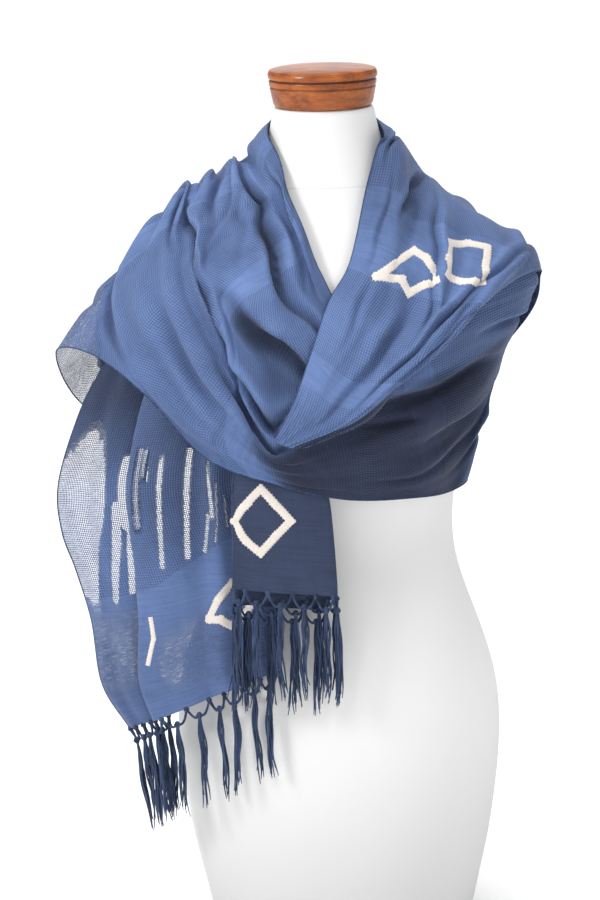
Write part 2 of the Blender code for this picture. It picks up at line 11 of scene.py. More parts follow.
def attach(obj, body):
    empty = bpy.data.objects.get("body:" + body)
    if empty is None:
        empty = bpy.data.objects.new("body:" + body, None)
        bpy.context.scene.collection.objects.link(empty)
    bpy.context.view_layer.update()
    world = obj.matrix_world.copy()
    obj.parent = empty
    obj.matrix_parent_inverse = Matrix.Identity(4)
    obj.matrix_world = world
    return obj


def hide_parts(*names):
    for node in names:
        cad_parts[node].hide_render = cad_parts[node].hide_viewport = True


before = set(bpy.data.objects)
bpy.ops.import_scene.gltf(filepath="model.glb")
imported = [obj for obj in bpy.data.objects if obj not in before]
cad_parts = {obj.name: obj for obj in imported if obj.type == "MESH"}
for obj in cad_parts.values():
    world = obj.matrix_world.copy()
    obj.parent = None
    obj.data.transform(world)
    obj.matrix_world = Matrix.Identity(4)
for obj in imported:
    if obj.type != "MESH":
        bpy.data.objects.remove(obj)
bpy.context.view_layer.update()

# A rebozo wound round a limbless dress form. Tables are in millimetres, with the origin in
# the middle of the form's underside, the front towards -Y and the viewer's right at +X.
# The cloth is one net of threads (rows along its length) and stations (sections across it).
# Its first shape repeats the solids' own sections. It is then refined, creased by listed
# folds, and made a thin shell.

bl_info = {
    "name": "Rebozo on a dress form",
    "version": (1, 0, 0),
    "blender": (4, 5, 0),
    "location": "View3D > Sidebar > Rebozo",
    "description": "Cloth, fringe, dress form and stage of a wound rebozo shawl",
    "category": "Object",
}

MM = 0.001
TINY = 1e-9                 # keeps a length from being 0
BODY = "root"

# Cloth
WALL = 2.0                  # thickness of the cloth wall
LIE_ON_FORM = 1.2           # air between the cloth and the form it rests on
LIE_ON_CLOTH = 2.4          # air between two folded stretches
LIE_ON_INNER = 6.2          # air between the two passes across the back
LIE_ON_FLAT = 0.6           # air over the flat narrow end
SPINE_TOP = 600.0           # above it the cloth is pushed out from one point, in all directions
FAR = 420.0                 # from there to well outside the cloth
FRONT_SHARE = 1.4           # how much more a stand-off counts to the front than sideways
TAKE_OVER = 6               # rows in which the roll leaves the outer pass's height

# Steps of each stretch along its length, and of all of them across it
WRAP_STEPS = (8, 35, 21, 23)    # inner pass, front pass, outer pass, roll
WRAP_COLUMNS = 25
WIDE_ROWS = 11
NARROW_ROWS = 6

# One row for each level of the form, bottom to top
FORM_SECTIONS = (
    # height, half width, front depth, back depth
    (0, 133, 92, 98),
    (5, 139, 97, 103),
    (50, 148, 105, 112),
    (100, 160, 112, 120),
    (160, 168, 118, 127),
    (218, 172, 120, 128),
    (265, 167, 119, 123),
    (317, 152, 111, 109),
    (370, 131, 98, 93),
    (415, 123, 92, 87),
    (460, 126, 98, 88),
    (510, 135, 111, 93),
    (560, 147, 126, 101),
    (600, 155, 131, 107),
    (645, 160, 126, 111),
    (690, 170, 110, 108),
    (716, 177, 95, 99),
    (733, 172, 86, 91),
    (747, 153, 79, 83),
    (760, 128, 72, 76),
    (775, 103, 66, 70),
    (792, 82, 60, 65),
    (812, 66, 55, 61),
    (835, 56, 51, 57),
    (864, 52, 49, 54),
)

# How far the drape stands from the form's axis at each level
DRAPE = (
    # height, left, right, front, back
    (0, 280, 172, 130, 110),
    (430, 280, 130, 140, 112),
    (458, 280, 134, 146, 114),
    (490, 282, 144, 150, 118),
    (543, 284, 160, 152, 124),
    (604, 284, 178, 145, 130),
    (621, 282, 184, 140, 131),
    (671, 250, 213, 122, 128),
    (690, 238, 219, 115, 124),
    (706, 223, 217, 108, 119),
    (734, 187, 178, 95, 110),
    (756, 151, 149, 85, 102),
    (789, 130, 100, 70, 90),
    (806, 82, 86, 60, 84),
    (831, 62, 74, 48, 76),
    (860, 56, 62, 38, 66),
)
DRAPE_ROUNDNESS = 2.3

THREADS = ("neck edge", "collar", "deep fold", "cowl fold", "chest", "apron", "hem")

# Each station gives its name, how far it stands off the drape, then the across and the
# height of the neck edge, collar, deep fold, cowl fold, chest, apron and hem.
# Front pass, from the right side to the left shoulder
FRONT_STATIONS = (
    ("right side", 0, (204, 704), (212, 688), (205, 662),
     (187, 630), (173, 586), (156, 545), (135, 484)),
    ("right arm", -4, (150, 694), (158, 676), (160, 652),
     (157, 611), (148, 562), (137, 520), (120, 478)),
    ("right breast", -5, (78, 672), (82, 656), (84, 626),
     (87, 584), (91, 543), (91, 508), (86, 481)),
    ("middle", -6, (20, 668), (19, 648), (10, 604),
     (12, 559), (16, 529), (17, 506), (15, 486)),
    ("cowl", 0, (-9, 711), (-12, 674), (-53, 631),
     (-61, 543), (-60, 527), (-58, 515), (-54, 504)),
    ("left low", 0, (-24, 753), (-30, 721), (-89, 679),
     (-103, 628), (-127, 589), (-142, 565), (-127, 532)),
    ("left breast", 0, (-38, 788), (-49, 768), (-116, 721),
     (-136, 695), (-170, 666), (-196, 625), (-188, 595)),
    ("left high", 0, (-46, 817), (-64, 787), (-114, 764),
     (-145, 744), (-177, 724), (-227, 680), (-241, 629)),
    ("left shoulder", 0, (-56, 839), (-76, 810), (-99, 803),
     (-125, 791), (-150, 779), (-212, 718), (-282, 619)),
)

# Outer pass across the back, from the left shoulder to the right one
BACK_STATIONS = (
    ("left of back", 0, (-50, 846), (-80, 812), (-108, 783),
     (-148, 745), (-190, 690), (-230, 625), (-264, 552)),
    ("left blade", 0, (-27, 851), (-52, 806), (-80, 758),
     (-110, 702), (-140, 640), (-168, 572), (-192, 498)),
    ("spine", 0, (4, 853), (0, 802), (-5, 747),
     (-9, 690), (-12, 628), (-14, 558), (-15, 482)),
    ("right blade", 0, (34, 851), (50, 806), (68, 759),
     (84, 712), (98, 661), (112, 604), (122, 546)),
    ("right of back", 0, (52, 845), (76, 815), (104, 782),
     (136, 749), (167, 716), (192, 680), (203, 640)),
)

# Roll from the right shoulder down to the gathered point
ROLL_STATIONS = (
    ("right shoulder", 0, (61, 836), (79, 826), (98, 797),
     (123, 772), (156, 750), (200, 720), (215, 686)),
    ("top", 10, (51, 826), (67, 823), (86, 784),
     (114, 762), (153, 741), (193, 716), (206, 694)),
    ("collarbone", 14, (38, 786), (59, 779), (82, 754),
     (112, 735), (143, 717), (167, 702), (177, 689)),
    ("upper breast", 17, (27, 741), (50, 735), (73, 720),
     (102, 702), (125, 688), (143, 684), (149, 670)),
    ("breast", 20, (17, 713), (36, 701), (60, 685),
     (87, 671), (107, 664), (117, 661), (121, 649)),
    ("below breast", 22, (-2, 683), (19, 667), (41, 650),
     (66, 641), (82, 635), (89, 634), (92, 625)),
    ("twist", 22, (-18, 639), (-2, 627), (15, 611),
     (37, 607), (51, 606), (59, 607), (63, 601)),
    ("gather", 18, (-36, 591), (-24, 584), (-13, 574),
     (2, 568), (15, 570), (25, 573), (32, 570)),
    ("point", 15, (-55, 556), (-52, 552), (-48, 549),
     (-43, 547), (-38, 546), (-32, 546), (-26, 546)),
)
# Share of the station's stand-off that each thread of the roll takes
ROLL_PUFF = (0.30, 0.95, 0.80, 1.10, 1.20, 1.10, 0.25)
# How far each station of the roll is back to an even stand-off
ROLL_FLATTEN = (0.0, 0.0, 0.0, 0.0, 0.0, 0.0, 0.15, 0.7, 1.0)

# Inner pass across the back, from the left shoulder blade to the right side
INNER_STATIONS = (
    ("left blade", -8, (-80, 716), (-86, 692), (-92, 668),
     (-97, 642), (-101, 614), (-106, 586), (-110, 556)),
    ("spine", -9, (10, 700), (5, 672), (0, 642),
     (-5, 610), (-12, 575), (-18, 540), (-24, 500)),
    ("right blade", -9, (98, 692), (94, 662), (90, 628),
     (84, 590), (77, 550), (68, 508), (56, 464)),
    ("right of back", -3, (162, 694), (166, 674), (164, 646),
     (156, 610), (148, 568), (134, 522), (114, 470)),
)

# Ridges (+) and valleys (-) that run along the threads
FRONT_FOLDS = (
    # name, thread, from station, to station, half width, height
    ("collar roll", 0.45, 3.0, 9.4, 0.38, 5),
    ("collar crease", 1.0, 3.4, 8.6, 0.32, -9),
    ("deep fold lip", 1.5, 3.4, 6.8, 0.36, 6),
    ("deep fold", 2.05, 2.8, 6.4, 0.36, -19),
    ("second fold", 2.62, 3.2, 5.4, 0.26, -8),
    ("cowl valley", 3.0, 3.6, 7.4, 0.30, -15),
    ("cowl lip", 3.4, 3.4, 7.6, 0.30, 6),
    ("first pleat", 1.5, 6.7, 9.2, 0.30, 7),
    ("pleat notch", 2.05, 6.9, 9.0, 0.28, -7),
    ("second pleat", 2.6, 6.6, 9.2, 0.32, 7),
    ("outer notch", 3.15, 7.2, 9.0, 0.28, -5),
    ("outer pleat", 3.75, 6.8, 9.2, 0.34, 6),
    ("flare valley", 5.1, 5.8, 8.4, 0.42, -11),
    ("right crease", 3.0, 0.2, 2.9, 0.32, -6),
    ("right ridge", 3.6, 0.2, 2.8, 0.36, 4),
    ("lower crease", 4.4, 0.0, 2.4, 0.34, -5),
)
BACK_FOLDS = (
    ("nape roll", 0.4, -0.6, 6.6, 0.40, 6),
    ("nape crease", 1.1, 0.8, 5.0, 0.34, -7),
    ("upper ridge", 1.8, -0.6, 3.6, 0.34, 7),
    ("long crease", 2.5, 0.2, 5.6, 0.34, -8),
    ("blade ridge", 3.2, 0.6, 6.6, 0.36, 7),
    ("middle crease", 4.0, -0.4, 4.4, 0.34, -7),
    ("lower ridge", 4.8, 0.4, 5.8, 0.38, 6),
    ("hem crease", 5.5, 1.0, 4.6, 0.30, -4),
)
ROLL_FOLDS = (
    ("neck valley", 1.95, -0.8, 3.2, 0.34, -9),
    ("long crease", 2.4, 2.6, 7.4, 0.34, -8),
    ("diamond crease", 3.3, 0.6, 4.6, 0.28, -6),
    ("crown", 4.0, 2.0, 7.2, 0.40, 4),
    ("crest", 4.9, -0.4, 6.8, 0.34, 6),
)
INNER_FOLDS = (
    ("side crease", 3.0, 0.0, 3.0, 0.5, -4),
    ("low ridge", 4.6, 0.2, 3.6, 0.5, 3),
)

# Wide end, top to bottom: each level runs from the left edge to the hidden right edge
WIDE_END_LEVELS = (
    # left across, depth, height, right across, depth, height, fold share, overlap, pleat place
    (-174, -26, 714, -92, -77, 728, 0.30, 0.0, 0.46),
    (-198, -42, 668, -84, -112, 690, 0.60, 0.0, 0.46),
    (-232, -52, 610, -76, -122, 640, 1.15, 0.6, 0.44),
    (-256, -50, 566, -70, -122, 590, 1.05, 1.0, 0.42),
    (-282, -44, 489, -66, -116, 520, 1.00, 1.0, 0.40),
    (-281, -44, 438, -64, -112, 465, 1.00, 1.0, 0.39),
    (-268, -46, 396, -62, -112, 425, 1.00, 1.0, 0.36),
    (-254, -50, 342, -62, -115, 380, 1.00, 1.0, 0.32),
    (-246, -54, 274, -62, -119, 335, 0.95, 1.0, 0.28),
    (-219, -60, 228, -62, -122, 304, 0.95, 1.0, 0.24),
)
WIDE_END_BOW = 14.0         # how far the level bows outwards
# Path of the wide end's section across its width, at equal steps of cloth: a flat left
# panel that runs under the pleat, the turn back, then a waved right panel that lies over it
WIDE_END_PLEATS = (
    # share of the cloth, moved along by the overlap, out from the level
    (0.00, 0.00, 0),
    (0.06, 0.03, 3),
    (0.12, 0.05, 1),
    (0.18, 0.07, 4),
    (0.24, 0.10, 0),
    (0.30, 0.12, -6),
    (0.35, 0.13, -7),
    (0.39, 0.10, -3),
    (0.43, 0.02, -1),
    (0.47, -0.06, 2),
    (0.51, -0.07, 7),
    (0.57, -0.03, 8),
    (0.64, -0.01, 5),
    (0.71, 0.00, -3),
    (0.79, 0.00, 5),
    (0.87, 0.00, -4),
    (0.94, 0.00, 3),
    (1.00, 0.00, 0),
)
PLEAT_EDGE = 0.46           # place of the pleat's edge on the untouched path

# Narrow end, top to bottom
NARROW_END_LEVELS = (
    # left edge, right edge, height at left, height at right, depth
    (-98, -16, 532, 530, -142),
    (-102, -9, 512, 508, -144),
    (-104, -4, 488, 484, -146),
    (-105, -1, 450, 446, -147),
    (-106, 1, 420, 414, -148),
    (-107, 1, 399, 395, -149),
)
# Path of the folded bundle's section: front layer first
NARROW_END_LAYERS = (
    # share of the width, behind the front layer
    (0.02, 1.6),
    (0.12, 0.2),
    (0.30, -0.6),
    (0.50, -0.8),
    (0.70, -0.2),
    (0.88, 0.2),
    (0.98, 1.8),
    (0.98, 5.2),
    (0.88, 6.8),
    (0.70, 7.0),
    (0.50, 6.4),
    (0.30, 6.6),
    (0.12, 7.0),
    (0.02, 8.6),
    (0.02, 12.0),
    (0.12, 13.6),
    (0.30, 14.0),
    (0.50, 13.4),
    (0.70, 13.8),
    (0.90, 13.6),
)
LAYER_STAGGER = 26.0        # how much lower the last layer of the narrow end hangs

# Fringe of the two ends
WIDE_TASSELS = 13
NARROW_TASSELS = 17
WIDE_CELLS = 4              # steps of the cloth's edge from one tassel to the next
NARROW_CELLS = 3

# The wound stretches, in the order in which the cloth runs
WOUND = ("back_inner", "front_wrap", "back_outer", "right_roll")
FOLD_EASE = 0.8             # how quickly a fold of the first shape fades in and out

# Fine cloth
SHELL = 0.9                 # thickness of the woven cloth
LIE = 0.5                   # air between two layers of it
REFINE_ALONG = 4            # steps of the fine cloth for each step of the first shape
REFINE_ACROSS = 5
END_ROWS = 73
END_COLUMNS = 4             # columns of an end's fine cloth for each of its first cells
SELVEDGE = 0.75             # radius of the firm edge yarns
SELVEDGE_SIDES = 6

# Listed creases. Each is a fold lip with its valley on the hem side, or on the neck
# side where the half width is negative. Its line runs through stations and threads.
FRONT_CREASES = (
    # name, half width in threads, valley, lip, line
    ("main left fold", 0.26, 12.5, 5.0, ((4.3, 3.02), (4.67, 2.84), (4.77, 2.61), (4.99, 2.51),
     (5.43, 2.34), (6.19, 2.39), (6.79, 2.52), (7.61, 3.31), (8.4, 3.6))),
    ("deep cowl fold", 0.24, 13.0, 4.0, ((2.7, 2.10), (3.65, 1.88), (3.99, 1.80), (4.42, 1.80),
     (4.77, 1.88), (5.25, 2.00))),
    ("cowl lip", 0.20, 8.0, 5.0, ((3.5, 2.50), (3.71, 2.54), (3.95, 2.62), (4.40, 2.66),
     (4.72, 2.75), (5.0, 2.80))),
    ("lowest cowl lip", 0.18, 7.5, 4.5, ((3.6, 2.80), (3.85, 2.92), (3.95, 3.02), (4.25, 3.02),
     (4.58, 3.04), (5.1, 3.10))),
    ("collar fold", 0.19, 11.5, 4.0, ((2.8, 1.12), (3.7, 1.19), (4.5, 1.26), (5.09, 1.25),
     (5.7, 1.20), (6.3, 1.10), (7.4, 1.15), (8.4, 1.45))),
    ("neck fold", 0.16, 4.5, 2.0, ((3.6, 0.72), (4.6, 0.74), (5.8, 0.62), (7.6, 0.45))),
    ("collar pucker", 0.14, 3.2, 1.5, ((5.2, 1.62), (5.8, 1.55), (6.6, 1.45), (7.4, 1.40))),
    ("shoulder gather", 0.18, 6.0, 2.0, ((6.6, 1.78), (7.2, 1.70), (8.5, 1.62))),
    ("short shoulder fold", 0.18, 5.0, 2.5, ((6.3, 1.95), (7.0, 2.05), (8.4, 2.25))),
    ("shoulder step", 0.20, 6.5, 2.5, ((6.7, 3.15), (7.2, 3.45), (7.8, 3.75), (8.6, 3.9))),
    ("apron crease", 0.26, 2.8, 1.2, ((4.2, 3.62), (5.4, 3.75), (6.6, 3.95))),
    ("apron ridge", 0.30, 2.0, 1.8, ((4.4, 4.35), (5.6, 4.45), (6.9, 4.60))),
    ("flare trough", 0.34, 5.0, 2.0, ((6.1, 5.50), (6.9, 5.10), (7.6, 4.80), (8.4, 4.70))),
    ("flare top crease", 0.26, 3.2, 1.5, ((7.0, 4.15), (7.7, 4.25), (8.5, 4.35))),
    ("flare edge pucker", 0.16, 2.4, 1.2, ((6.9, 5.45), (7.6, 5.40), (8.5, 5.45))),
    ("right upper crease", 0.24, 5.0, 2.2, ((0.3, 3.25), (0.9, 3.12), (1.7, 2.95),
     (2.4, 2.75), (2.9, 2.62))),
    ("right short crease", 0.20, 3.6, 1.6, ((1.9, 3.55), (2.3, 3.30), (2.8, 2.95))),
    ("right middle crease", 0.24, 2.8, 1.4, ((0.2, 3.95), (1.0, 4.05), (2.0, 4.15))),
    ("right low crease", 0.28, 3.4, 1.8, ((0.3, 4.50), (1.2, 4.75), (2.2, 5.05), (3.0, 5.20))),
    ("side pucker", 0.22, 3.4, 1.5, ((-0.8, 2.45), (0.2, 2.35), (1.2, 2.25))),
    ("side pucker low", 0.26, 2.8, 1.4, ((-1.0, 4.9), (0.2, 5.1), (1.4, 5.3))),
    ("hem pucker", 0.20, 1.8, 1.0, ((3.0, 5.55), (3.8, 5.45), (4.6, 5.30))),
)
ROLL_CREASES = (
    ("neck curl", 0.26, 6.0, 3.0, ((-0.9, 0.62), (0.3, 0.58), (1.6, 0.50))),
    ("shoulder valley", 0.22, 7.0, 2.5, ((-0.6, 2.10), (0.6, 2.05), (1.2, 1.85), (1.75, 1.56),
     (2.3, 1.40))),
    ("diamond ridge", -0.22, 3.8, 3.2, ((0.2, 2.70), (1.2, 2.68), (2.1, 2.66), (3.0, 2.84),
     (3.57, 3.02), (4.49, 3.21), (5.0, 3.30))),
    ("long fold", 0.26, 7.5, 3.5, ((0.9, 4.95), (1.74, 4.64), (2.73, 4.18), (3.67, 3.66),
     (4.57, 3.44), (5.6, 3.30), (6.6, 3.10))),
    ("crest fold", 0.24, 5.0, 2.5, ((2.6, 5.15), (3.8, 4.75), (5.0, 4.40), (6.4, 4.00),
     (7.4, 3.70))),
    ("centre fold", 0.34, 3.6, 2.6, ((3.7, 2.35), (4.8, 2.30), (5.8, 2.25), (7.2, 2.20))),
    ("left fold", 0.30, 2.4, 1.6, ((3.6, 0.85), (4.8, 1.00), (6.0, 1.15))),
    ("upper crease", 0.20, 2.4, 1.2, ((1.6, 0.90), (2.6, 0.75), (3.8, 0.60))),
    ("arm trough", 0.30, 4.0, 2.0, ((-0.9, 5.0), (0.4, 4.9), (1.6, 5.1))),
)
BACK_CREASES = (
    ("nape trough", 0.20, 4.0, 2.0, ((0.2, 0.85), (2.2, 0.70), (4.4, 0.80))),
    ("nape second", 0.22, 5.0, 2.2, ((0.6, 1.55), (2.4, 1.35), (4.0, 1.50))),
    ("blade fold", 0.24, 5.5, 2.6, ((-0.4, 2.30), (0.8, 2.35), (2.0, 2.60), (3.4, 2.75))),
    ("short blade fold", 0.20, 3.6, 2.0, ((2.9, 2.15), (3.9, 2.05), (5.2, 2.20))),
    ("long sweep", 0.26, 5.0, 2.6, ((0.2, 3.50), (1.8, 3.15), (3.4, 3.10), (5.2, 3.45))),
    ("low sweep", 0.26, 4.2, 2.2, ((0.8, 4.55), (2.4, 4.15), (4.0, 4.10), (5.6, 4.40))),
    ("hem sweep", 0.24, 3.0, 1.6, ((1.2, 5.35), (2.8, 5.10), (4.6, 5.25))),
    ("left corner", 0.28, 3.0, 1.4, ((-0.8, 5.10), (0.2, 5.00), (1.4, 4.80))),
    ("right corner", 0.28, 3.4, 1.6, ((3.8, 5.30), (4.8, 5.15), (6.0, 4.95))),
)
INNER_CREASES = (
    ("side fold", 0.28, 3.4, 1.8, ((0.4, 2.2), (2.0, 2.0), (3.9, 2.1))),
    ("middle fold", 0.24, 2.8, 1.6, ((0.8, 3.3), (2.2, 3.1), (3.8, 3.2))),
    ("low fold", 0.28, 3.2, 1.6, ((0.6, 4.3), (2.4, 4.1), (3.8, 4.4))),
    ("hem fold", 0.24, 2.2, 1.2, ((1.0, 5.3), (2.6, 5.1), (3.9, 5.2))),
)
CREASE_LIP = (-0.65, 0.58)  # place and width of its lip, in its half widths
CREASE_VALLEY = (0.24, 0.48)    # place and width of its valley
CREASE_WANDER = 0.06        # how far a crease strays from its line, in threads
WANDER_WAVE = (4.3, 1.7)    # how fast it strays along the stations, shift to the next crease
CREASE_DEPTH = 1.9          # how much deeper the folds are than the tables say
CREASE_EASE = 0.7           # how quickly a crease fades in and out
WIDTH_OF_THREAD = 40.0      # width of one thread step where the folds are full
LEAST_FOLD = 0.2            # share of a fold that is left where the threads meet
# Painted shade in the valleys of the folds and a painted highlight on their lips
FULL_SHADE_VALLEY = 15.0          # depth of a valley where its painted shade is darkest
VALLEY_PAINTED_SHADE = 0.88          # how dark the painted shade of the deepest valley is
VALLEY_SHADE_EASE = 1.3
FULL_HIGHLIGHT_LIP = 9.0              # height of a lip where its painted highlight is lightest
LIP_PAINTED_HIGHLIGHT = 0.8               # how light that painted highlight is
CREASE_UNEVEN = 0.22        # how much its height differs along it
UNEVEN_WAVE = 3.1           # how fast it differs along the stations
UNEVEN_WAVES = (
    # number of waves, length across the threads, length along them, height
    (7, 55.0, 230.0, 0.8),
    (6, 24.0, 70.0, 0.20),
    (5, 10.0, 24.0, 0.05),
)
WAVE_SPREAD = (0.7, 1.4)    # how far a wave's own length is off
END_UNEVEN = 0.9
WOUND_SPAN = 300.0          # width of the cloth as wound
EASINGS = 2                 # how often a lift of the fine cloth is eased
SEEDS = {"wound": 11, "end_wide": 3, "end_narrow": 4, "foot": 20}
# Directions that aren't parallel to any yarn, to start a tube's and a knot's turns from
TUBE_SLANT = (0.31, 0.87, 0.38)
KNOT_SLANT = (0.2, -1.0, 0.1)
# Smooth, closely woven bands across the cloth
DENSE_BANDS = (
    # stretch, half width in metres, line through stations and threads
    ("front_wrap", 0.015, ((5.34, 0.0), (5.16, 1.25), (5.06, 1.75), (4.6, 3.0), (4.2, 6.0))),
    ("front_wrap", 0.015, ((7.7, 0.0), (7.5, 3.0), (7.3, 6.0))),
    ("front_wrap", 0.015, ((2.3, 0.0), (1.9, 3.0), (1.7, 6.0))),
    ("right_roll", 0.046, ((2.9, 0.0), (2.75, 2.0), (2.4, 4.0), (2.3, 6.0))),
    ("right_roll", 0.014, ((6.3, 0.0), (6.2, 6.0))),
    ("back_outer", 0.046, ((1.5, 0.0), (1.5, 6.0))),
    ("back_outer", 0.015, ((4.0, 0.0), (4.0, 6.0))),
    ("back_inner", 0.030, ((1.9, 0.0), (2.0, 6.0))),
    ("end_wide", 0.200, ((1.150, 0.0), (1.145, 0.245), (1.130, 0.55), (1.120, 0.575),
     (1.096, 0.62), (1.072, 0.69), (1.03, 0.80), (0.98, 1.0))),
    ("end_narrow", 0.300, ((0.5, 0.0), (0.5, 1.0))),
)
# See-through places: outlines on a stretch, by station and thread, with their strength
SHEER_PATCHES = (
    ("end_wide", 1.0, ((0.365, 0.085), (0.383, 0.156), (0.419, 0.194), (0.478, 0.205),
     (0.55, 0.182), (0.628, 0.131), (0.736, 0.075), (0.742, 0.045), (0.72, -0.02),
     (0.5, -0.03), (0.42, -0.02))),
    ("back_outer", 1.0, ((-0.3, 5.30), (0.75, 5.25), (1.20, 5.55), (1.15, 6.2), (-0.3, 6.2))),
    ("front_wrap", 0.51, ((6.85, 5.75), (7.3, 5.20), (8.6, 5.05), (8.6, 6.2), (6.8, 6.2))),
    ("end_wide", 0.30, ((0.82, 0.56), (0.78, 0.72), (0.84, 1.1), (0.98, 1.1), (0.95, 0.62),
     (0.92, 0.56))),
    ("end_wide", 0.24, ((0.74, -0.1), (0.74, 0.50), (0.93, 0.50), (0.93, -0.1))),
)
# Streaks where the cross yarns have slid apart: half width in threads, strength, line
SHEER_STREAKS = (
    ("end_wide", 0.017, 1.0, ((0.49, 0.243), (0.60, 0.225), (0.737, 0.173))),
    ("end_wide", 0.016, 1.0, ((0.405, 0.268), (0.45, 0.262), (0.556, 0.268))),
    ("end_wide", 0.012, 1.0, ((0.389, 0.534), (0.46, 0.530), (0.556, 0.527))),
    ("end_wide", 0.014, 1.6, ((0.385, 0.418), (0.558, 0.423))),
    ("end_wide", 0.014, 1.6, ((0.385, 0.317), (0.558, 0.312))),
    ("end_wide", 0.014, 1.0, ((0.56, 0.285), (0.64, 0.270), (0.732, 0.256))),
    ("end_wide", 0.006, 0.9, ((0.389, 0.548), (0.447, 0.553))),
    ("end_wide", 0.009, 1.6, ((0.385, 0.399), (0.449, 0.399))),
    ("end_wide", 0.009, 1.6, ((0.385, 0.341), (0.449, 0.341))),
    ("end_wide", 0.009, 0.72, ((0.41, 0.594), (0.52, 0.588), (0.667, 0.583))),
    ("end_wide", 0.011, 0.70, ((0.395, 0.684), (0.52, 0.672), (0.655, 0.662))),
    ("end_wide", 0.010, 0.80, ((0.42, 0.760), (0.483, 0.768), (0.55, 0.771))),
    ("end_wide", 0.010, 0.80, ((0.54, 0.752), (0.60, 0.735), (0.640, 0.722))),
    ("end_wide", 0.006, 0.70, ((0.47, 0.795), (0.56, 0.790), (0.62, 0.775))),
    ("end_wide", 0.005, 0.70, ((0.50, 0.822), (0.58, 0.826))),
    ("end_wide", 0.008, 0.65, ((0.45, 0.870), (0.60, 0.875))),
    ("end_wide", 0.007, 0.65, ((0.47, 0.930), (0.62, 0.928))),
    ("end_wide", 0.007, 0.75, ((0.50, 0.400), (0.69, 0.405))),
    ("end_wide", 0.008, 0.75, ((0.44, 0.450), (0.64, 0.448))),
)
SOFT_PASSES = 9             # how often the edge of a faint or deep place is averaged
CRISP_PASSES = 3            # and that of a see-through one
FAINT = 0.5                 # strength below which a see-through place is a faint one
# Outlines inside which painted shade darkens the cloth's colour: stretch, strength, stations
# between which it sets in, outline
PAINTED_SHADE_OUTLINES = (
    ("front_wrap", 0.97, (-0.7, 1.0), ((-1.0, 2.65), (1.2, 2.78), (2.6, 2.62), (3.6, 2.85),
     (4.35, 3.5), (4.05, 4.6), (3.85, 7.0), (-1.0, 7.0))),
    ("right_roll", 0.95, (4.8, 6.0), ((4.8, 5.45), (6.0, 4.80), (7.0, 4.40), (7.9, 3.95),
     (9.5, 3.6), (9.5, 7.0), (4.8, 7.0))),
)
# Places where painted shade darkens the cloth's colour, or painted light lightens it where the
# strength is below 0: stretch, strength, from station, to station, from thread, to thread
PAINTED_SHADE_AND_LIGHT_PLACES = (
    ("right_roll", -0.38, 4.3, 7.2, -0.6, 2.4),
    ("front_wrap", -0.50, 4.5, 5.6, 1.25, 2.0),
    ("front_wrap", 0.38, -3.0, 1.5, -1.0, 7.5),
    ("front_wrap", 0.55, 0.0, 4.2, 3.9, 7.5),
    ("front_wrap", 0.30, -1.0, 2.0, 1.0, 3.4),
    ("front_wrap", 0.35, 3.1, 4.3, 1.4, 2.75),
    ("right_roll", 0.15, 3.5, 9.0, 4.2, 7.0),
    ("right_roll", 0.30, -1.0, 4.0, 4.6, 7.0),
    ("right_roll", 0.25, -1.0, 3.0, -1.6, 3.0),
    ("end_narrow", 0.88, -0.6, 1.6, -0.6, 1.6),
    ("end_wide", 0.85, -0.5, 0.52, -0.3, 0.55),
    ("end_wide", 0.52, -0.5, 0.72, 0.40, 1.4),
    ("end_wide", 0.16, 0.70, 1.4, -0.5, 1.5),
    ("end_wide", 0.34, 0.70, 1.4, -0.6, 0.62),
    ("back_inner", 0.45, -1.0, 5.0, -1.0, 7.0),
)
PLACE_EASE = 0.22           # share of a place's length in which it sets in

# Cut of each stretch: width and length in metres, and how it is held
WOUND_CUTS = (
    ("front_wrap", (0.30, 0.58), "draped"),
    ("right_roll", (0.20, 0.37), "gathered"),
    ("back_outer", (0.37, 0.52), "draped"),
    ("back_inner", (0.23, 0.38), "draped"),
)
END_CUTS = (
    ("end_wide", (0.24, 0.49), "hung"),
    ("end_narrow", (0.29, 0.15), "folded"),
)

# Fringe, in millimetres
KNOT_DROP = 13.5            # from the cloth's edge to a tassel's knot
DROP_UNEVEN = 1.2
KNOT_HANG = (0.6, 0.4)      # how far a knot follows the cloth's edge, how far it hangs straight
TASSEL_HANG = (0.4, 0.6)
TASSEL_LENGTH = 108.0       # from the cloth's edge
TASSEL_YARNS = 8
TASSEL_HALF = 3.1           # half its width
TASSEL_NECK = 0.35          # share of that width at its knot
TASSEL_LAYER = 1.2          # how far its front and back yarns are from its middle
YARN_STEPS = 15
YARN_SIDES = 5
YARN_OPENS = 5              # how fast a tassel opens below its knot
YARN_LENGTHS = (0.84, 1.04)     # shortest and longest of its yarns, as a share of its length
YARN_LOOSE = 3.0            # how far a tip strays
YARN_WAVE = (0.5, 1.3)      # how far a yarn waves, and how fast to the side and to the front
YARN_PACE = (11.0, 8.0)
TASSEL_LEAN = (1.0, 3.0)    # how far a whole tassel leans, and how fast it turns
TASSEL_PACE = 5.0
EDGE_KNOT = 2.5             # radius of the knots on the cloth's edge, and how low they are
EDGE_KNOT_DROP = 1.2
TASSEL_KNOT = 2.9           # radius of a tassel's knot, and how far below it its yarns begin
TASSEL_START = 1.5
# A knot's section: place along it and radius, as shares of its size
KNOT_SHAPE = ((-1.25, 0.45), (-0.85, 0.85), (-0.3, 1.0), (0.3, 1.0), (0.85, 0.8), (1.25, 0.5))
KNOT_SIDES = 8
KNOT_TURN_STEPS = 10        # steps of the yarn that is wound round it
KNOT_TILT = 0.35
KNOT_YARN = 0.3
LEG_RADIUS = 1.25           # yarns that cross from knot to knot
LEG_APART = 0.8
LEG_SAG = 5.5
LEG_STEPS = 7
LEG_SIDES = 6

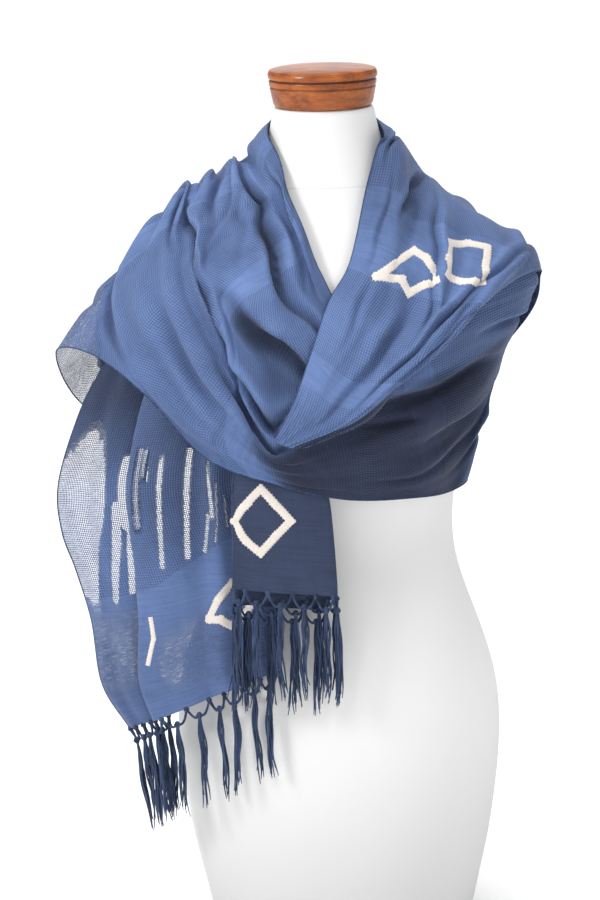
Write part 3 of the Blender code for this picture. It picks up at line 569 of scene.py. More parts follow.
# Diamonds
DIAMOND_PITCH = 3.4         # length of one stitch of the zigzag
STITCH = (0.0, 0.5, 1.0, 0.5)   # how far the yarn is across the band at each quarter of it
STITCH_LEAN = 0.09          # how far it moves the band, in band widths
STITCH_WIDTHS = (0.80, 0.24)    # width in its middle, and what is added at its ends
STITCH_HEIGHTS = (0.75, 0.25)
DIAMOND_RISE = 0.8
CORNER_REACH = 0.42         # how far a band runs past its corner, in band widths
BAND_SECTION = (
    # share of the half width, share of the rise
    (-1.0, -0.2), (-0.86, 0.55), (-0.45, 0.95), (0.0, 1.0), (0.45, 0.95), (0.86, 0.55),
    (1.0, -0.2), (0.0, -0.35),
)
# Each line gives its stretch, its share of the band's width and its corners, by station and
# thread
DIAMONDS = (
    ("right_roll", 1.0, ((3.74, 1.10), (3.22, 1.60), (2.64, 2.10), (2.68, 2.44), (2.84, 2.67),
     (3.10, 2.83), (3.36, 2.53), (3.68, 2.27))),
    ("right_roll", 1.0, ((3.74, 1.10), (3.60, 1.57), (3.48, 1.95), (3.68, 2.27))),
    ("right_roll", 1.0, ((2.02, 2.99), (1.72, 3.50), (1.67, 3.99), (2.16, 4.10), (2.63, 4.31),
     (2.78, 3.65), (2.80, 3.12), (2.47, 2.98), (2.02, 2.99))),
    ("end_narrow", 1.0, ((0.289, 0.107), (0.400, 0.142), (0.489, 0.180), (0.569, 0.140),
     (0.672, 0.100), (0.597, 0.057), (0.506, 0.012), (0.408, 0.066), (0.289, 0.107))),
    ("end_wide", 1.0, ((0.728, 0.830), (0.764, 0.769), (0.803, 0.729), (0.806, 0.784),
     (0.828, 0.831), (0.77, 0.93), (0.728, 0.830))),
    ("end_wide", 0.6, ((0.780, 0.546), (0.818, 0.553), (0.862, 0.541))),
    ("back_outer", 1.0, ((2.3, 2.2), (1.9, 3.0), (2.3, 3.8), (2.7, 3.0), (2.3, 2.2))),
    ("back_outer", 1.0, ((2.3, 3.9), (1.9, 4.7), (2.3, 5.5), (2.7, 4.7), (2.3, 3.9))),
)

# Dress form and cap
FORM_SIDES = 32
FORM_RINGS = 27
RING_SWELL = 1.002          # undoes most of what smoothing takes off a ring
LEVEL_SLACK = 1e-6          # in metres, for points of one level
LID_INSETS = (0.003, 0.012)     # rings of a closed end, in metres
CAP_SIDES = 96
CAP_BEVEL = 0.0006          # in metres
CAP_PROFILE = (
    # radius, height
    (43.0, 864.2),
    (46.5, 864.4),
    (49.5, 865.5),
    (51.0, 868.5),
    (53.5, 881.0),
    (54.2, 884.0),
    (53.2, 885.2),
    (54.6, 886.4),
    (55.0, 891.0),
    (53.6, 892.6),
    (55.6, 894.2),
    (56.0, 898.0),
    (54.4, 901.8),
    (49.0, 903.2),
    (40.0, 904.2),
    (28.0, 904.9),
    (16.0, 905.3),
)

# Weave, in metres
WEAVE_MAP = "weave"
RIB_PITCH = 0.0026
YARN_PITCH = 0.0026
SHEER_PITCH = 0.0020
STITCH_PITCH = 0.0009
RIB_DRIFT = 0.0015          # how far the ribs stray, and the open net
NET_DRIFT = 0.002
NET_YARN = (0.33, 0.38)     # where in its cell a yarn of the open net begins
BAND_EDGE = 0.0012          # half width of a dense band's edge

# Noises: how fast each changes (in all directions, or in each), its detail and roughness
DRIFT = ((9.0, 30.0, 1.0), 2.0, 0.5)
SLUB = ((75.0, 560.0, 1.0), 2.0, 0.6)
CROSS_SLUB = ((420.0, 24.0, 1.0), 2.0, 0.6)
CLOUD = ((14.0, 20.0, 1.0), 3.0, 0.6)
RAGGED = ((300.0, 170.0, 1.0), 2.0, 0.6)
LEFT_IN = ((900.0, 110.0, 1.0), 2.0, 0.6)
SPECK = ((1100.0, 95.0, 1.0), 3.0, 0.6)
FIBRE = ((900.0, 900.0, 160.0), 3.0, 0.6)
YARN_TONE = ((240.0, 240.0, 30.0), 2.0, 0.5)
STITCH_WEAR = (400.0, 3.0, 0.6)
SKIN_WEAVE = (2200.0, 2.0, 0.6)
SKIN_CLOUD = (9.0, 3.0, 0.5)
WOOD_BEND = ((22.0, 60.0, 70.0), 3.0, 0.55)
WOOD_GRAIN = ((26.0, 420.0, 520.0), 4.0, 0.65)
WOOD_PORES = ((160.0, 2200.0, 2200.0), 2.0, 0.5)
FLOOR_CLOUD = (2.0, 2.0, 0.5)

# Shares of each pattern in the cloth's tone, where 0 is deep and 1 is raised
MIDDLE_TONE = 0.285
RIB_TONE, YARN_PART = 0.6, 0.4  # shares of the ribs and the yarns in the grid
GRID_CLOUD = (0.35, 0.9)    # how strong the grid is, and what a cloud adds to it
GRID_TONE = (0.07, 0.58)    # in a dense band, and what is added outside it
SLUB_TONE = 0.15
CROSS_TONE = (0.10, 0.27)   # outside a dense band, and what is added in it
CLOUD_TONE = 0.34
DENSE_TONE = 0.08
# Painted light on the fold lips and on lit places of the cloth
PAINTED_LIGHT_TONE = 0.30
# See-through places
BARE = (0.44, 0.56)         # from where to where the cross yarns are gone
BARE_LOOK = 0.90            # how clear a bare place is
NO_NET = (1.1, 1.4)         # strengths from which the long yarns are gone too
THIN_FROM = (0.03, 0.30)    # strengths from which the cloth thins
THIN_SPECKS = (0.32, 0.70)
THIN_LOOK = 0.48
SHEEN_TINT = (0.75, 0.82, 1.0, 1.0)
YARN_SHADES = (0.24, 0.33)  # how dark the fringe is beside the cloth's two colours

# Skin and wood, in metres
NECK_SEAM = 0.788           # height of the faint seam
SEAM_EDGE = (0.0002, 0.0009)
FOOT_SHADE_HEIGHTS = (0.02, 0.26)    # heights between which the painted shade at the foot fades out
FOOT_SHADE_SHARE = 0.18           # how dark the painted shade is at the foot
PORES = (0.6, 0.72)
CAP_GROOVES = ((0.8926, 0.90), (0.8852, 0.35))  # height, darkening
GROOVE_EDGE = (0.0006, 0.0016)

# Stage, in metres
FLOOR_SIZE = 400.0
FLOOR_COLOURS = (0.93, 0.96)
WORLD_LIGHT = 0.32
OVERHEAD_LIGHT = 2.7
OVERHEAD_PLACE = (0.0, 0.6, 4.0)
OVERHEAD_ANGLE = 60         # in degrees
LIGHTS = (
    # name, watts, size, place, what it looks at
    ("key_light", 66.0, 0.9, (-2.4, -1.7, 2.35), (0.0, 0.0, 0.60)),
    ("rim_light", 15.0, 2.0, (0.2, 2.8, 1.60), (0.0, 0.0, 0.90)),
    ("fill_light", 22.0, 2.0, (1.4, -3.4, 1.3), (0.0, 0.0, 0.40)),
)
CAMERA_PLACE = (-0.0334, -3.4130, 1.2814)
CAMERA_LENS = 134.6         # in millimetres, as the sensor
CAMERA_SENSOR = 36.0
CAMERA_PITCH = 12.8         # in degrees
CAMERA_ROLL = 1.6
CAMERA_REACH = 200.0


def unit(vectors):
    """Vectors scaled to a length of 1."""
    return vectors / np.maximum(np.linalg.norm(vectors, axis=-1, keepdims=True), TINY)


def smooth_rows(rows, places):
    """Catmull-Rom curve through the rows of an array, read at places counted in rows."""
    rows = np.asarray(rows, float)
    last = len(rows) - 1
    padded = np.concatenate([[2 * rows[0] - rows[1]], rows, [2 * rows[-1] - rows[-2]]])
    out = []
    for place in places:
        start = min(max(int(math.floor(place)), 0), last - 1)
        t = place - start
        a, b, c, d = padded[start:start + 4]
        out.append(0.5 * (2 * b + (c - a) * t + (2 * a - 5 * b + 4 * c - d) * t * t
                          + (3 * b - a - 3 * c + d) * t ** 3))
    return np.array(out)


def smooth_net(net, station_places, thread_places):
    """Read a net of control points at finer stations and threads."""
    along = smooth_rows(net, station_places)
    across = smooth_rows(np.swapaxes(along, 0, 1), thread_places)
    return np.swapaxes(across, 0, 1)


def drape_depth(across, height, facing):
    """Depth of the drape at a place seen from the front (-1) or the back (1)."""
    table = np.array(DRAPE, float)
    side = np.interp(height, table[:, 0], table[:, 1 if across < 0 else 2])
    reach = np.interp(height, table[:, 0], table[:, 3 if facing < 0 else 4])
    share = min(abs(across) / side, 1.0)
    return facing * reach * (1 - share ** DRAPE_ROUNDNESS) ** (1 / DRAPE_ROUNDNESS)


def net_of(stations, facing, flatten=None):
    """Control net in space from the tables of across and height.

    With flatten, each thread takes its own share of the stand-off from ROLL_PUFF, and the
    station's flatten value brings it back towards an even one.
    """
    net = []
    for number, row in enumerate(stations):
        stand_off = row[1]
        section = []
        for thread, (across, height) in enumerate(row[2:]):
            depth = drape_depth(across, height, facing)
            share = 1.0
            if flatten is not None:
                even = flatten[number]
                share = even + (1.0 - even) * ROLL_PUFF[thread]
            flat = Vector((across, depth * FRONT_SHARE, 0.0))
            push = flat.normalized() * (stand_off * share) if flat.length > 1 else Vector()
            section.append((across + push.x, depth + push.y, height))
        net.append(section)
    return np.array(net)


def spine_points(grid):
    """Points inside the form from which the cloth is pushed out."""
    middle = np.zeros_like(grid)
    middle[:, :, 2] = np.minimum(grid[:, :, 2], SPINE_TOP)
    return middle


def normals_of(grid):
    """Unit normals of a grid of points, pointing away from the form's axis."""
    normal = unit(np.cross(np.gradient(grid, axis=0), np.gradient(grid, axis=1)))
    outward = np.sum(normal * (grid - spine_points(grid)), axis=2).mean()
    return normal if outward > 0 else -normal


def raise_folds(grid, folds, station_places, thread_places):
    """Add ridges and valleys along the threads."""
    relief = np.zeros(grid.shape[:2])
    stations = np.asarray(station_places)[:, None]
    threads = np.asarray(thread_places)[None, :]
    for _, thread, start, end, width, height in folds:
        share = np.clip((stations - start) / (end - start), 0.0, 1.0)
        swell = np.sin(math.pi * share) ** FOLD_EASE
        relief += height * swell * np.exp(-((threads - thread) / width) ** 2)
    return grid + normals_of(grid) * relief[:, :, None]


def spread(values, pick):
    """Take the widest or the mean value round each place of a grid of values."""
    padded = np.pad(values, 1, mode="edge")
    rows, columns = values.shape
    return pick([padded[i:i + rows, j:j + columns] for i in range(3) for j in range(3)], axis=0)


def soften(lift):
    """Ease a lift into its surroundings, never below its own size."""
    return np.maximum(spread(spread(lift, np.max), np.mean), lift)


def wide_end_grid(levels, columns):
    """Middle surface of the wide end, top to bottom, left edge to right edge."""
    rows = smooth_rows(WIDE_END_LEVELS, np.linspace(0, len(WIDE_END_LEVELS) - 1, levels))
    steps = np.interp(np.linspace(0, 1, columns), [r[0] for r in WIDE_END_PLEATS],
                      np.arange(len(WIDE_END_PLEATS)))
    path = smooth_rows(WIDE_END_PLEATS, steps)
    grid = np.zeros((levels, columns, 3))
    for i, row in enumerate(rows):
        left = row[0:3]
        run = row[3:6] - left
        out = unit(np.array((run[1], -run[0], 0.0)))
        for j, (share, shift, fold) in enumerate(path):
            along = np.interp(share + shift * row[7], (0, PLEAT_EDGE, 1), (0, row[8], 1))
            bow = WIDE_END_BOW * math.sin(math.pi * share)
            grid[i, j] = left + run * along + out * (fold * row[6] + bow)
    return grid


def narrow_end_grid(levels, columns):
    """Middle surface of the narrow end, top to bottom, front layer to back layer."""
    rows = smooth_rows(NARROW_END_LEVELS, np.linspace(0, len(NARROW_END_LEVELS) - 1, levels))
    path = smooth_rows(NARROW_END_LAYERS, np.linspace(0, len(NARROW_END_LAYERS) - 1, columns))
    grid = np.zeros((levels, columns, 3))
    for i, (left, right, low_left, low_right, depth) in enumerate(rows):
        fall = LAYER_STAGGER * i / (levels - 1)
        for j, (share, behind) in enumerate(path):
            height = low_left + (low_right - low_left) * share
            height -= fall * j / (columns - 1)
            grid[i, j] = (left + (right - left) * share, depth + behind, height)
    return grid


def grid_faces(rows, columns):
    """Faces between the points of a grid, row by row."""
    corners = [i * columns + j for i in range(rows - 1) for j in range(columns - 1)]
    return [(at, at + columns, at + columns + 1, at + 1) for at in corners]


def grid_tree(grid):
    """Search tree of a grid's middle surface."""
    points = [Vector(point) for point in grid.reshape(-1, 3)]
    return BVHTree.FromPolygons(points, grid_faces(*grid.shape[:2]))


def lift_clear(grid, layers, half_wall):
    """How far each point of a grid is pushed out to clear the layers under it.

    A layer is a search tree and the air that the cloth keeps outside it.
    """
    middle = spine_points(grid)
    outward = grid - middle
    reach = np.linalg.norm(outward, axis=2)
    outward = outward / reach[:, :, None]
    lift = np.zeros(grid.shape[:2])
    for i in range(grid.shape[0]):
        for j in range(grid.shape[1]):
            direction = Vector(outward[i, j])
            start = Vector(middle[i, j]) + direction * FAR
            for tree, air in layers:
                distance = tree.ray_cast(start, -direction, FAR)[3]
                if distance is not None:
                    clear = FAR - distance + air + half_wall
                    lift[i, j] = max(lift[i, j], clear - reach[i, j])
    return lift


def push_out(grid, lift):
    """Move a grid outwards by its lift."""
    return grid + unit(grid - spine_points(grid)) * lift[:, :, None]


def rows_between(turns):
    """Rows of each wound stretch, with the seams in both of their stretches."""
    return [slice(first, last + 1) for first, last in zip(turns, turns[1:])]


def form_tree():
    """Search tree of the dress form's solid, in millimetres."""
    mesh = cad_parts["form_body"].data
    points = [vertex.co / MM for vertex in mesh.vertices]
    return BVHTree.FromPolygons(points, [tuple(face.vertices) for face in mesh.polygons])


def first_ends(form):
    """The two hanging ends at the solids' own steps."""
    wide = wide_end_grid(WIDE_ROWS, WIDE_TASSELS * WIDE_CELLS + 1)
    wide = push_out(wide, soften(lift_clear(wide, [(form, LIE_ON_FLAT)], WALL / 2)))
    narrow = narrow_end_grid(NARROW_ROWS, NARROW_TASSELS * NARROW_CELLS + 1)
    return wide, narrow


def first_wrap(form, wide, narrow):
    """The wound stretches at the solids' own steps, with their places and turns."""
    nets = [net_of(INNER_STATIONS, 1), net_of(FRONT_STATIONS, -1),
            net_of(BACK_STATIONS, 1), net_of(ROLL_STATIONS, -1, ROLL_FLATTEN)]
    net = np.concatenate(nets)
    inner_end = len(nets[0])
    front_end = inner_end + len(nets[1]) - 1
    back_end = front_end + len(nets[2]) + 1
    seams = (0, inner_end, front_end, back_end, len(net) - 1)
    places = [0.0]
    for stretch, steps in enumerate(WRAP_STEPS):
        places += list(np.linspace(seams[stretch], seams[stretch + 1], steps + 1)[1:])
    threads = np.linspace(0, len(THREADS) - 1, WRAP_COLUMNS)
    folds = []
    for table, seam in zip((INNER_FOLDS, FRONT_FOLDS, BACK_FOLDS, ROLL_FOLDS), seams):
        for name, thread, start, end, width, height in table:
            folds.append((name, thread, start + seam, end + seam, width, height))
    grid = raise_folds(smooth_net(net, places, threads), folds, places, threads)

    turns = np.concatenate([[0], np.cumsum(WRAP_STEPS)])
    inner, front, back, roll = rows_between(turns)
    on_wide = (grid_tree(wide), WALL / 2 + LIE_ON_CLOTH)
    on_narrow = (grid_tree(narrow), WALL / 2 + LIE_ON_FLAT)
    under = [(form, LIE_ON_FORM), on_wide, on_narrow]
    lift = np.zeros(grid.shape[:2])
    lift[:turns[2] + 1] = lift_clear(grid[:turns[2] + 1], under, WALL / 2)
    inner_grid = push_out(grid[inner], soften(lift[inner]))
    on_inner = (grid_tree(inner_grid), WALL / 2 + LIE_ON_INNER)
    lift[back] = np.maximum(lift[back], lift_clear(grid[back], under + [on_inner], WALL / 2))
    settled = slice(0, turns[3] + 1)
    lift[settled] = soften(lift[settled])
    on_front = (grid_tree(push_out(grid[front], lift[front])), WALL / 2 + LIE_ON_CLOTH)
    below_roll = [under[0], on_front, on_inner]
    over_front = soften(lift_clear(grid[roll], below_roll, WALL / 2))
    share = np.clip(1 - np.arange(len(over_front)) / TAKE_OVER, 0, 1)
    from_back = lift[turns[3]] * share[:, None]
    lift[turns[3] + 1:] = np.maximum(over_front, from_back)[1:]
    return push_out(grid, lift), np.array(places), threads, seams, turns


class Stretch:
    """A stretch of fine cloth: its middle surface and where each row and column lies."""

    def __init__(self, grid, normal, stations, threads, run, span, relief):
        self.grid = grid
        self.normal = normal
        self.stations = stations
        self.threads = threads
        self.run = run
        self.span = span
        self.relief = relief

    def read(self, values, station, thread):
        """Value of a grid of values at a station and a thread."""
        i = float(np.interp(station, self.stations, np.arange(len(self.stations))))
        j = float(np.interp(thread, self.threads, np.arange(len(self.threads))))
        i0 = min(int(i), len(self.stations) - 2)
        j0 = min(int(j), len(self.threads) - 2)
        a = values[i0, j0] * (1 - j + j0) + values[i0, j0 + 1] * (j - j0)
        b = values[i0 + 1, j0] * (1 - j + j0) + values[i0 + 1, j0 + 1] * (j - j0)
        return a * (1 - i + i0) + b * (i - i0)

    def point(self, station, thread, out=0.0):
        """Point over the cloth, and the normal there."""
        normal = unit(self.read(self.normal, station, thread))
        return self.read(self.grid, station, thread) + normal * out, normal


def span_of(grid):
    """Length across the cloth to each point from the neck edge, in metres."""
    steps = np.linalg.norm(np.diff(grid, axis=1), axis=2)
    return np.pad(np.cumsum(steps, axis=1), ((0, 0), (1, 0))) * MM


def run_of(grid):
    """Length along the cloth to each row, in metres, as the mean over the threads."""
    steps = np.linalg.norm(np.diff(grid, axis=0), axis=2).mean(axis=1)
    return np.concatenate([[0.0], np.cumsum(steps)]) * MM


def crease_relief(creases, stations, threads):
    """Relief of the listed creases over the stations and threads."""
    relief = np.zeros((len(stations), len(threads)))
    pace, shift = WANDER_WAVE
    for number, (_, width, valley, lip, line) in enumerate(creases):
        places, on_threads = zip(*line)
        share = np.clip((stations - places[0]) / (places[-1] - places[0]), 0.0, 1.0)
        swell = np.sin(math.pi * share) ** CREASE_EASE
        swell *= 1 - CREASE_UNEVEN + CREASE_UNEVEN * np.sin(UNEVEN_WAVE * stations + number)
        centre = np.interp(stations, places, on_threads)
        centre += CREASE_WANDER * np.sin(pace * stations + shift * number)
        reach = (threads[None, :] - centre[:, None]) / width
        raised, sunk = [np.exp(-((reach - place) / wide) ** 2)
                        for place, wide in (CREASE_LIP, CREASE_VALLEY)]
        relief += swell[:, None] * (lip * raised - valley * sunk) * CREASE_DEPTH
    return relief


def unevenness(shape, run, span, seed):
    """Low relief that no hand places: long soft waves and short puckers."""
    rng = np.random.default_rng(seed)
    along = np.linspace(0, run, shape[0])[:, None]
    across = np.linspace(0, span, shape[1])[None, :]
    relief = np.zeros(shape)
    for count, wave_across, wave_along, height in UNEVEN_WAVES:
        for _ in range(count):
            turn_across = rng.uniform(*WAVE_SPREAD) * 2 * math.pi / wave_across
            turn_along = rng.uniform(-1.0, 1.0) * 2 * math.pi / wave_along
            phase = rng.uniform(0, 2 * math.pi)
            wave = np.sin(turn_across * across + turn_along * along + phase)
            relief += height / math.sqrt(count) * wave
    return relief


def ease(lift):
    """Ease a fine lift into its surroundings."""
    for _ in range(EASINGS):
        lift = soften(lift)
    return lift


@functools.lru_cache(maxsize=None)
def dressed_cloth():
    """Every stretch of the cloth by name, refined, creased and clear of what is under it."""
    form = form_tree()
    wide, narrow = first_ends(form)
    wrap, places, threads, seams, turns = first_wrap(form, wide, narrow)
    cloth = {}
    for name, shape, cells in (("end_wide", wide_end_grid, WIDE_TASSELS * WIDE_CELLS),
                               ("end_narrow", narrow_end_grid, NARROW_TASSELS * NARROW_CELLS)):
        cloth[name] = fine_end(shape, cells, form, SEEDS[name])

    rows = np.linspace(0, len(places) - 1, (len(places) - 1) * REFINE_ALONG + 1)
    columns = np.linspace(0, WRAP_COLUMNS - 1, (WRAP_COLUMNS - 1) * REFINE_ACROSS + 1)
    fine = smooth_net(wrap, rows, columns)
    stations = np.interp(rows, np.arange(len(places)), places)
    fine_threads = np.interp(columns, np.arange(len(threads)), threads)
    relief = np.zeros(fine.shape[:2])
    tables = (INNER_CREASES, FRONT_CREASES, BACK_CREASES, ROLL_CREASES)
    for creases, seam in zip(tables, seams):
        relief += crease_relief(creases, stations - seam, fine_threads)
    broad = np.linalg.norm(np.gradient(fine, axis=1), axis=2) / np.gradient(fine_threads)
    relief *= np.clip(broad / WIDTH_OF_THREAD, LEAST_FOLD, 1.0)
    folds = relief.copy()
    run = run_of(fine)
    relief += unevenness(relief.shape, run[-1] / MM, WOUND_SPAN, SEEDS["wound"])
    fine = fine + normals_of(fine) * relief[:, :, None]

    turns = turns * REFINE_ALONG
    inner, front, back, roll = rows_between(turns)
    half = SHELL / 2
    ends = [(grid_tree(end.grid), half + LIE) for end in cloth.values()]
    under = [(form, LIE)] + ends
    lift = np.zeros(fine.shape[:2])
    lift[:turns[3] + 1] = lift_clear(fine[:turns[3] + 1], under, half)
    inner_layer = (grid_tree(push_out(fine[inner], lift[inner])), half + LIE)
    lift[back] = np.maximum(lift[back], lift_clear(fine[back], [inner_layer], half))
    lift = ease(lift)
    front_layer = (grid_tree(push_out(fine[front], lift[front])), half + LIE)
    over = ease(lift_clear(fine[roll], [under[0], front_layer, inner_layer], half))
    lift[roll] = np.maximum(lift[roll], over)
    fine = push_out(fine, lift)

    normal = normals_of(fine)
    span = span_of(fine)
    for name, rows, seam in zip(WOUND, (inner, front, back, roll), seams):
        cloth[name] = Stretch(fine[rows], normal[rows], stations[rows] - seam,
                              fine_threads, run[rows], span[rows], folds[rows])
    return cloth


def fine_end(shape, cells, form, seed):
    """One hanging end, refined and uneven, the more so towards its foot."""
    grid = shape(END_ROWS, cells * END_COLUMNS + 1)
    run = run_of(grid)
    size = (run[-1] / MM, np.linalg.norm(np.diff(grid, axis=1), axis=2).sum(axis=1).mean())
    relief = unevenness(grid.shape[:2], *size, seed) * END_UNEVEN
    relief += np.linspace(0, 1, END_ROWS)[:, None] * unevenness(
        grid.shape[:2], *size, seed + SEEDS["foot"]) * END_UNEVEN
    grid = grid + normals_of(grid) * relief[:, :, None]
    grid = push_out(grid, ease(lift_clear(grid, [(form, LIE)], SHELL / 2)))
    return Stretch(grid, normals_of(grid), np.linspace(0, 1, END_ROWS),
                   np.linspace(0, 1, grid.shape[1]), run[-1] - run, span_of(grid),
                   np.zeros(grid.shape[:2]))


def start_clean():
    """Object mode with nothing selected."""
    if bpy.context.mode != "OBJECT":
        bpy.ops.object.mode_set(mode="OBJECT")
    bpy.ops.object.select_all(action="DESELECT")


def hold(made):
    """Select one piece alone and make it active."""
    start_clean()
    bpy.context.view_layer.objects.active = made
    made.select_set(True)


def add_piece(name, points, faces, finish):
    """Piece of points in millimetres, shaded smooth."""
    mesh = bpy.data.meshes.new(name)
    mesh.from_pydata([tuple(point) for point in np.asarray(points) * MM], [], faces)
    mesh.update()
    mesh.shade_smooth()
    mesh.materials.append(finish)
    made = bpy.data.objects.new(name, mesh)
    bpy.context.scene.collection.objects.link(made)
    return made


def add_yarns(name, points, faces, finish, angle=60):
    """Piece of yarns, with a crease wherever it bends by more than an angle."""
    made = add_piece(name, points, faces, finish)
    made.data.set_sharp_from_angle(angle=math.radians(angle))
    return made


def lay_weave(mesh, places):
    """Give a mesh the weave's UV map, from each point's place in the weave."""
    corner = np.zeros(len(mesh.loops), dtype=np.int32)
    mesh.loops.foreach_get("vertex_index", corner)
    layer = mesh.uv_layers.new(name=WEAVE_MAP)
    layer.data.foreach_set("uv", np.asarray(places, dtype=np.float32)[corner].ravel())


def cloth_shell(name, stretch, finish):
    """Thin closed shell round a stretch, with the weave's own UV map."""
    rows, columns = stretch.grid.shape[:2]
    offset = stretch.normal * SHELL / 2
    sides = np.concatenate([(stretch.grid + offset).reshape(-1, 3),
                            (stretch.grid - offset).reshape(-1, 3)])
    below = rows * columns
    quads = grid_faces(rows, columns)
    quads += [tuple(below + quad[k] for k in (0, 3, 2, 1)) for quad in quads]
    rim = [*range(columns), *range(2 * columns - 1, below, columns),
           *range(below - 2, below - columns - 1, -1), *range(below - 2 * columns, -1, -columns)]
    quads += [(here, there, below + there, below + here) for here, there in zip(rim, rim[1:])]
    first = sides[list(quads[0])]
    if np.dot(np.cross(first[1] - first[0], first[2] - first[0]), stretch.normal[0, 0]) < 0:
        quads = [quad[::-1] for quad in quads]
    made = add_piece(name, sides, quads, finish)
    places = np.stack(np.broadcast_arrays(stretch.run[:, None], stretch.span), axis=2)
    lay_weave(made.data, np.tile(places.reshape(-1, 2), (2, 1)))
    facing = np.concatenate([stretch.normal.reshape(-1, 3), -stretch.normal.reshape(-1, 3)])
    made.data.normals_split_custom_set_from_vertices([tuple(n) for n in facing])
    return made


def close_rings(start, rings, sides, faces):
    """Add the faces between the rings of a tube, and one over each of its ends."""
    for a in range(start, start + (rings - 1) * sides, sides):
        for k in range(sides):
            after = (k + 1) % sides
            faces.append((a + k, a + after, a + sides + after, a + sides + k))
    end = start + (rings - 1) * sides
    faces.append(tuple(reversed(range(start, start + sides))))
    faces.append(tuple(range(end, end + sides)))


def tube(path, radii, sides, points, faces):
    """Add a closed tube along a path to lists of points and faces."""
    path = np.asarray(path, float)
    ahead = unit(np.gradient(path, axis=0))
    side = np.cross(ahead[0], TUBE_SLANT)
    start = len(points)
    for place, way, radius in zip(path, ahead, radii):
        side = unit(side - way * np.dot(side, way))
        up = np.cross(way, side)
        for k in range(sides):
            turn = 2 * math.pi * k / sides
            points.append(place + radius * (side * math.cos(turn) + up * math.sin(turn)))
    close_rings(start, len(path), sides, faces)


def selvedges(name, stretch, finish):
    """Firm edge yarns along both long edges of a stretch."""
    points, faces = [], []
    for column in (0, -1):
        path = stretch.grid[:, column]
        tube(path, [SELVEDGE] * len(path), SELVEDGE_SIDES, points, faces)
    return add_yarns(name, points, faces, finish)


# Materials

class Value:
    """A socket that carries a number. An expression on it adds the Math nodes."""

    def __init__(self, finish, socket):
        self.finish = finish
        self.socket = socket

    def math(self, operation, *others, first=True):
        values = (self,) + others if first else others + (self,)
        made = self.finish.node("ShaderNodeMath", {"operation": operation}, *values)
        return Value(self.finish, made.outputs[0])

    def __add__(self, other):
        return self.math("ADD", other)

    def __radd__(self, other):
        return self.math("ADD", other)

    def __sub__(self, other):
        return self.math("SUBTRACT", other)

    def __rsub__(self, other):
        return self.math("SUBTRACT", other, first=False)

    def __mul__(self, other):
        return self.math("MULTIPLY", other)

    def __rmul__(self, other):
        return self.math("MULTIPLY", other)

    def __truediv__(self, other):
        return self.math("DIVIDE", other)

    def sin(self):
        return self.math("SINE")

    def abs(self):
        return self.math("ABSOLUTE")

    def fract(self):
        return self.math("FRACT")

    def most(self, other):
        return self.math("MAXIMUM", other)

    def clamped(self):
        return self.math("MAXIMUM", 0.0).math("MINIMUM", 1.0)

    def step(self, low, high):
        """0 below low, 1 above high, and a soft step between them."""
        made = self.finish.node("ShaderNodeMapRange", {"interpolation_type": "SMOOTHSTEP"},
                                self.socket, low, high, 0.0, 1.0)
        return Value(self.finish, made.outputs[0])


class Finish:
    """A material and its nodes."""

    def __init__(self, name):
        self.material = bpy.data.materials.new(name)
        self.material.use_nodes = True
        self.tree = self.material.node_tree
        self.tree.nodes.clear()

    def node(self, kind, settings=None, *inputs, **named):
        """Add a node: its settings first, then the values or links of its sockets."""
        made = self.tree.nodes.new(kind)
        for setting, value in (settings or {}).items():
            setattr(made, setting, value)
        for place, value in list(enumerate(inputs)) + list(named.items()):
            value = getattr(value, "socket", value)
            if value is None:
                continue
            socket = made.inputs[place.replace("_", " ") if isinstance(place, str) else place]
            if isinstance(value, bpy.types.NodeSocket):
                self.tree.links.new(value, socket)
            else:
                socket.default_value = value
        return made

    def value(self, node, output=0):
        return Value(self, node.outputs[output])

    def noise(self, place, scale, detail, roughness):
        """Noise with one scale, or with one for each direction."""
        if isinstance(scale, tuple):
            place = self.node("ShaderNodeMapping", None, Vector=place, Scale=scale).outputs[0]
            scale = 1.0
        return self.value(self.node("ShaderNodeTexNoise", None, Vector=place, Scale=scale,
                                    Detail=detail, Roughness=roughness))

    def mix(self, factor, first, second, blend="MIX"):
        """Mix two colours. They are the node's seventh and eighth input."""
        made = self.node("ShaderNodeMix", {"data_type": "RGBA", "blend_type": blend},
                         factor, None, None, None, None, None, first, second)
        return made.outputs[2]

    def bump(self, height, distance, strength):
        made = self.node("ShaderNodeBump", None, Strength=strength, Distance=distance,
                         Height=height)
        return made.outputs[0]

    def parts(self, place):
        """The three numbers of a place."""
        node = self.node("ShaderNodeSeparateXYZ", None, place)
        return [self.value(node, k) for k in range(3)]

    def weave_place(self):
        """Place in the weave, in metres: along the cloth and across it."""
        return self.node("ShaderNodeUVMap", {"uv_map": WEAVE_MAP}).outputs[0]

    def object_place(self):
        return self.node("ShaderNodeTexCoord").outputs["Object"]

    def attribute(self, name):
        return self.value(self.node("ShaderNodeAttribute", {"attribute_name": name}), "Fac")

    def finish(self, **inputs):
        """Close the material with its surface shader."""
        shader = self.node("ShaderNodeBsdfPrincipled", None, **inputs)
        self.node("ShaderNodeOutputMaterial", None, shader.outputs[0])
        return self.material


def material(name):
    """Let a function make the material of a name, once."""
    def once(build):
        def make():
            made = bpy.data.materials.get(name)
            return made or build(Finish(name), bpy.context.scene.rebozo)
        return make
    return once


def shade(colour, factor=1.0):
    """A colour with its opacity, scaled."""
    return tuple(min(1.0, channel * factor) for channel in colour[:3]) + (1.0,)


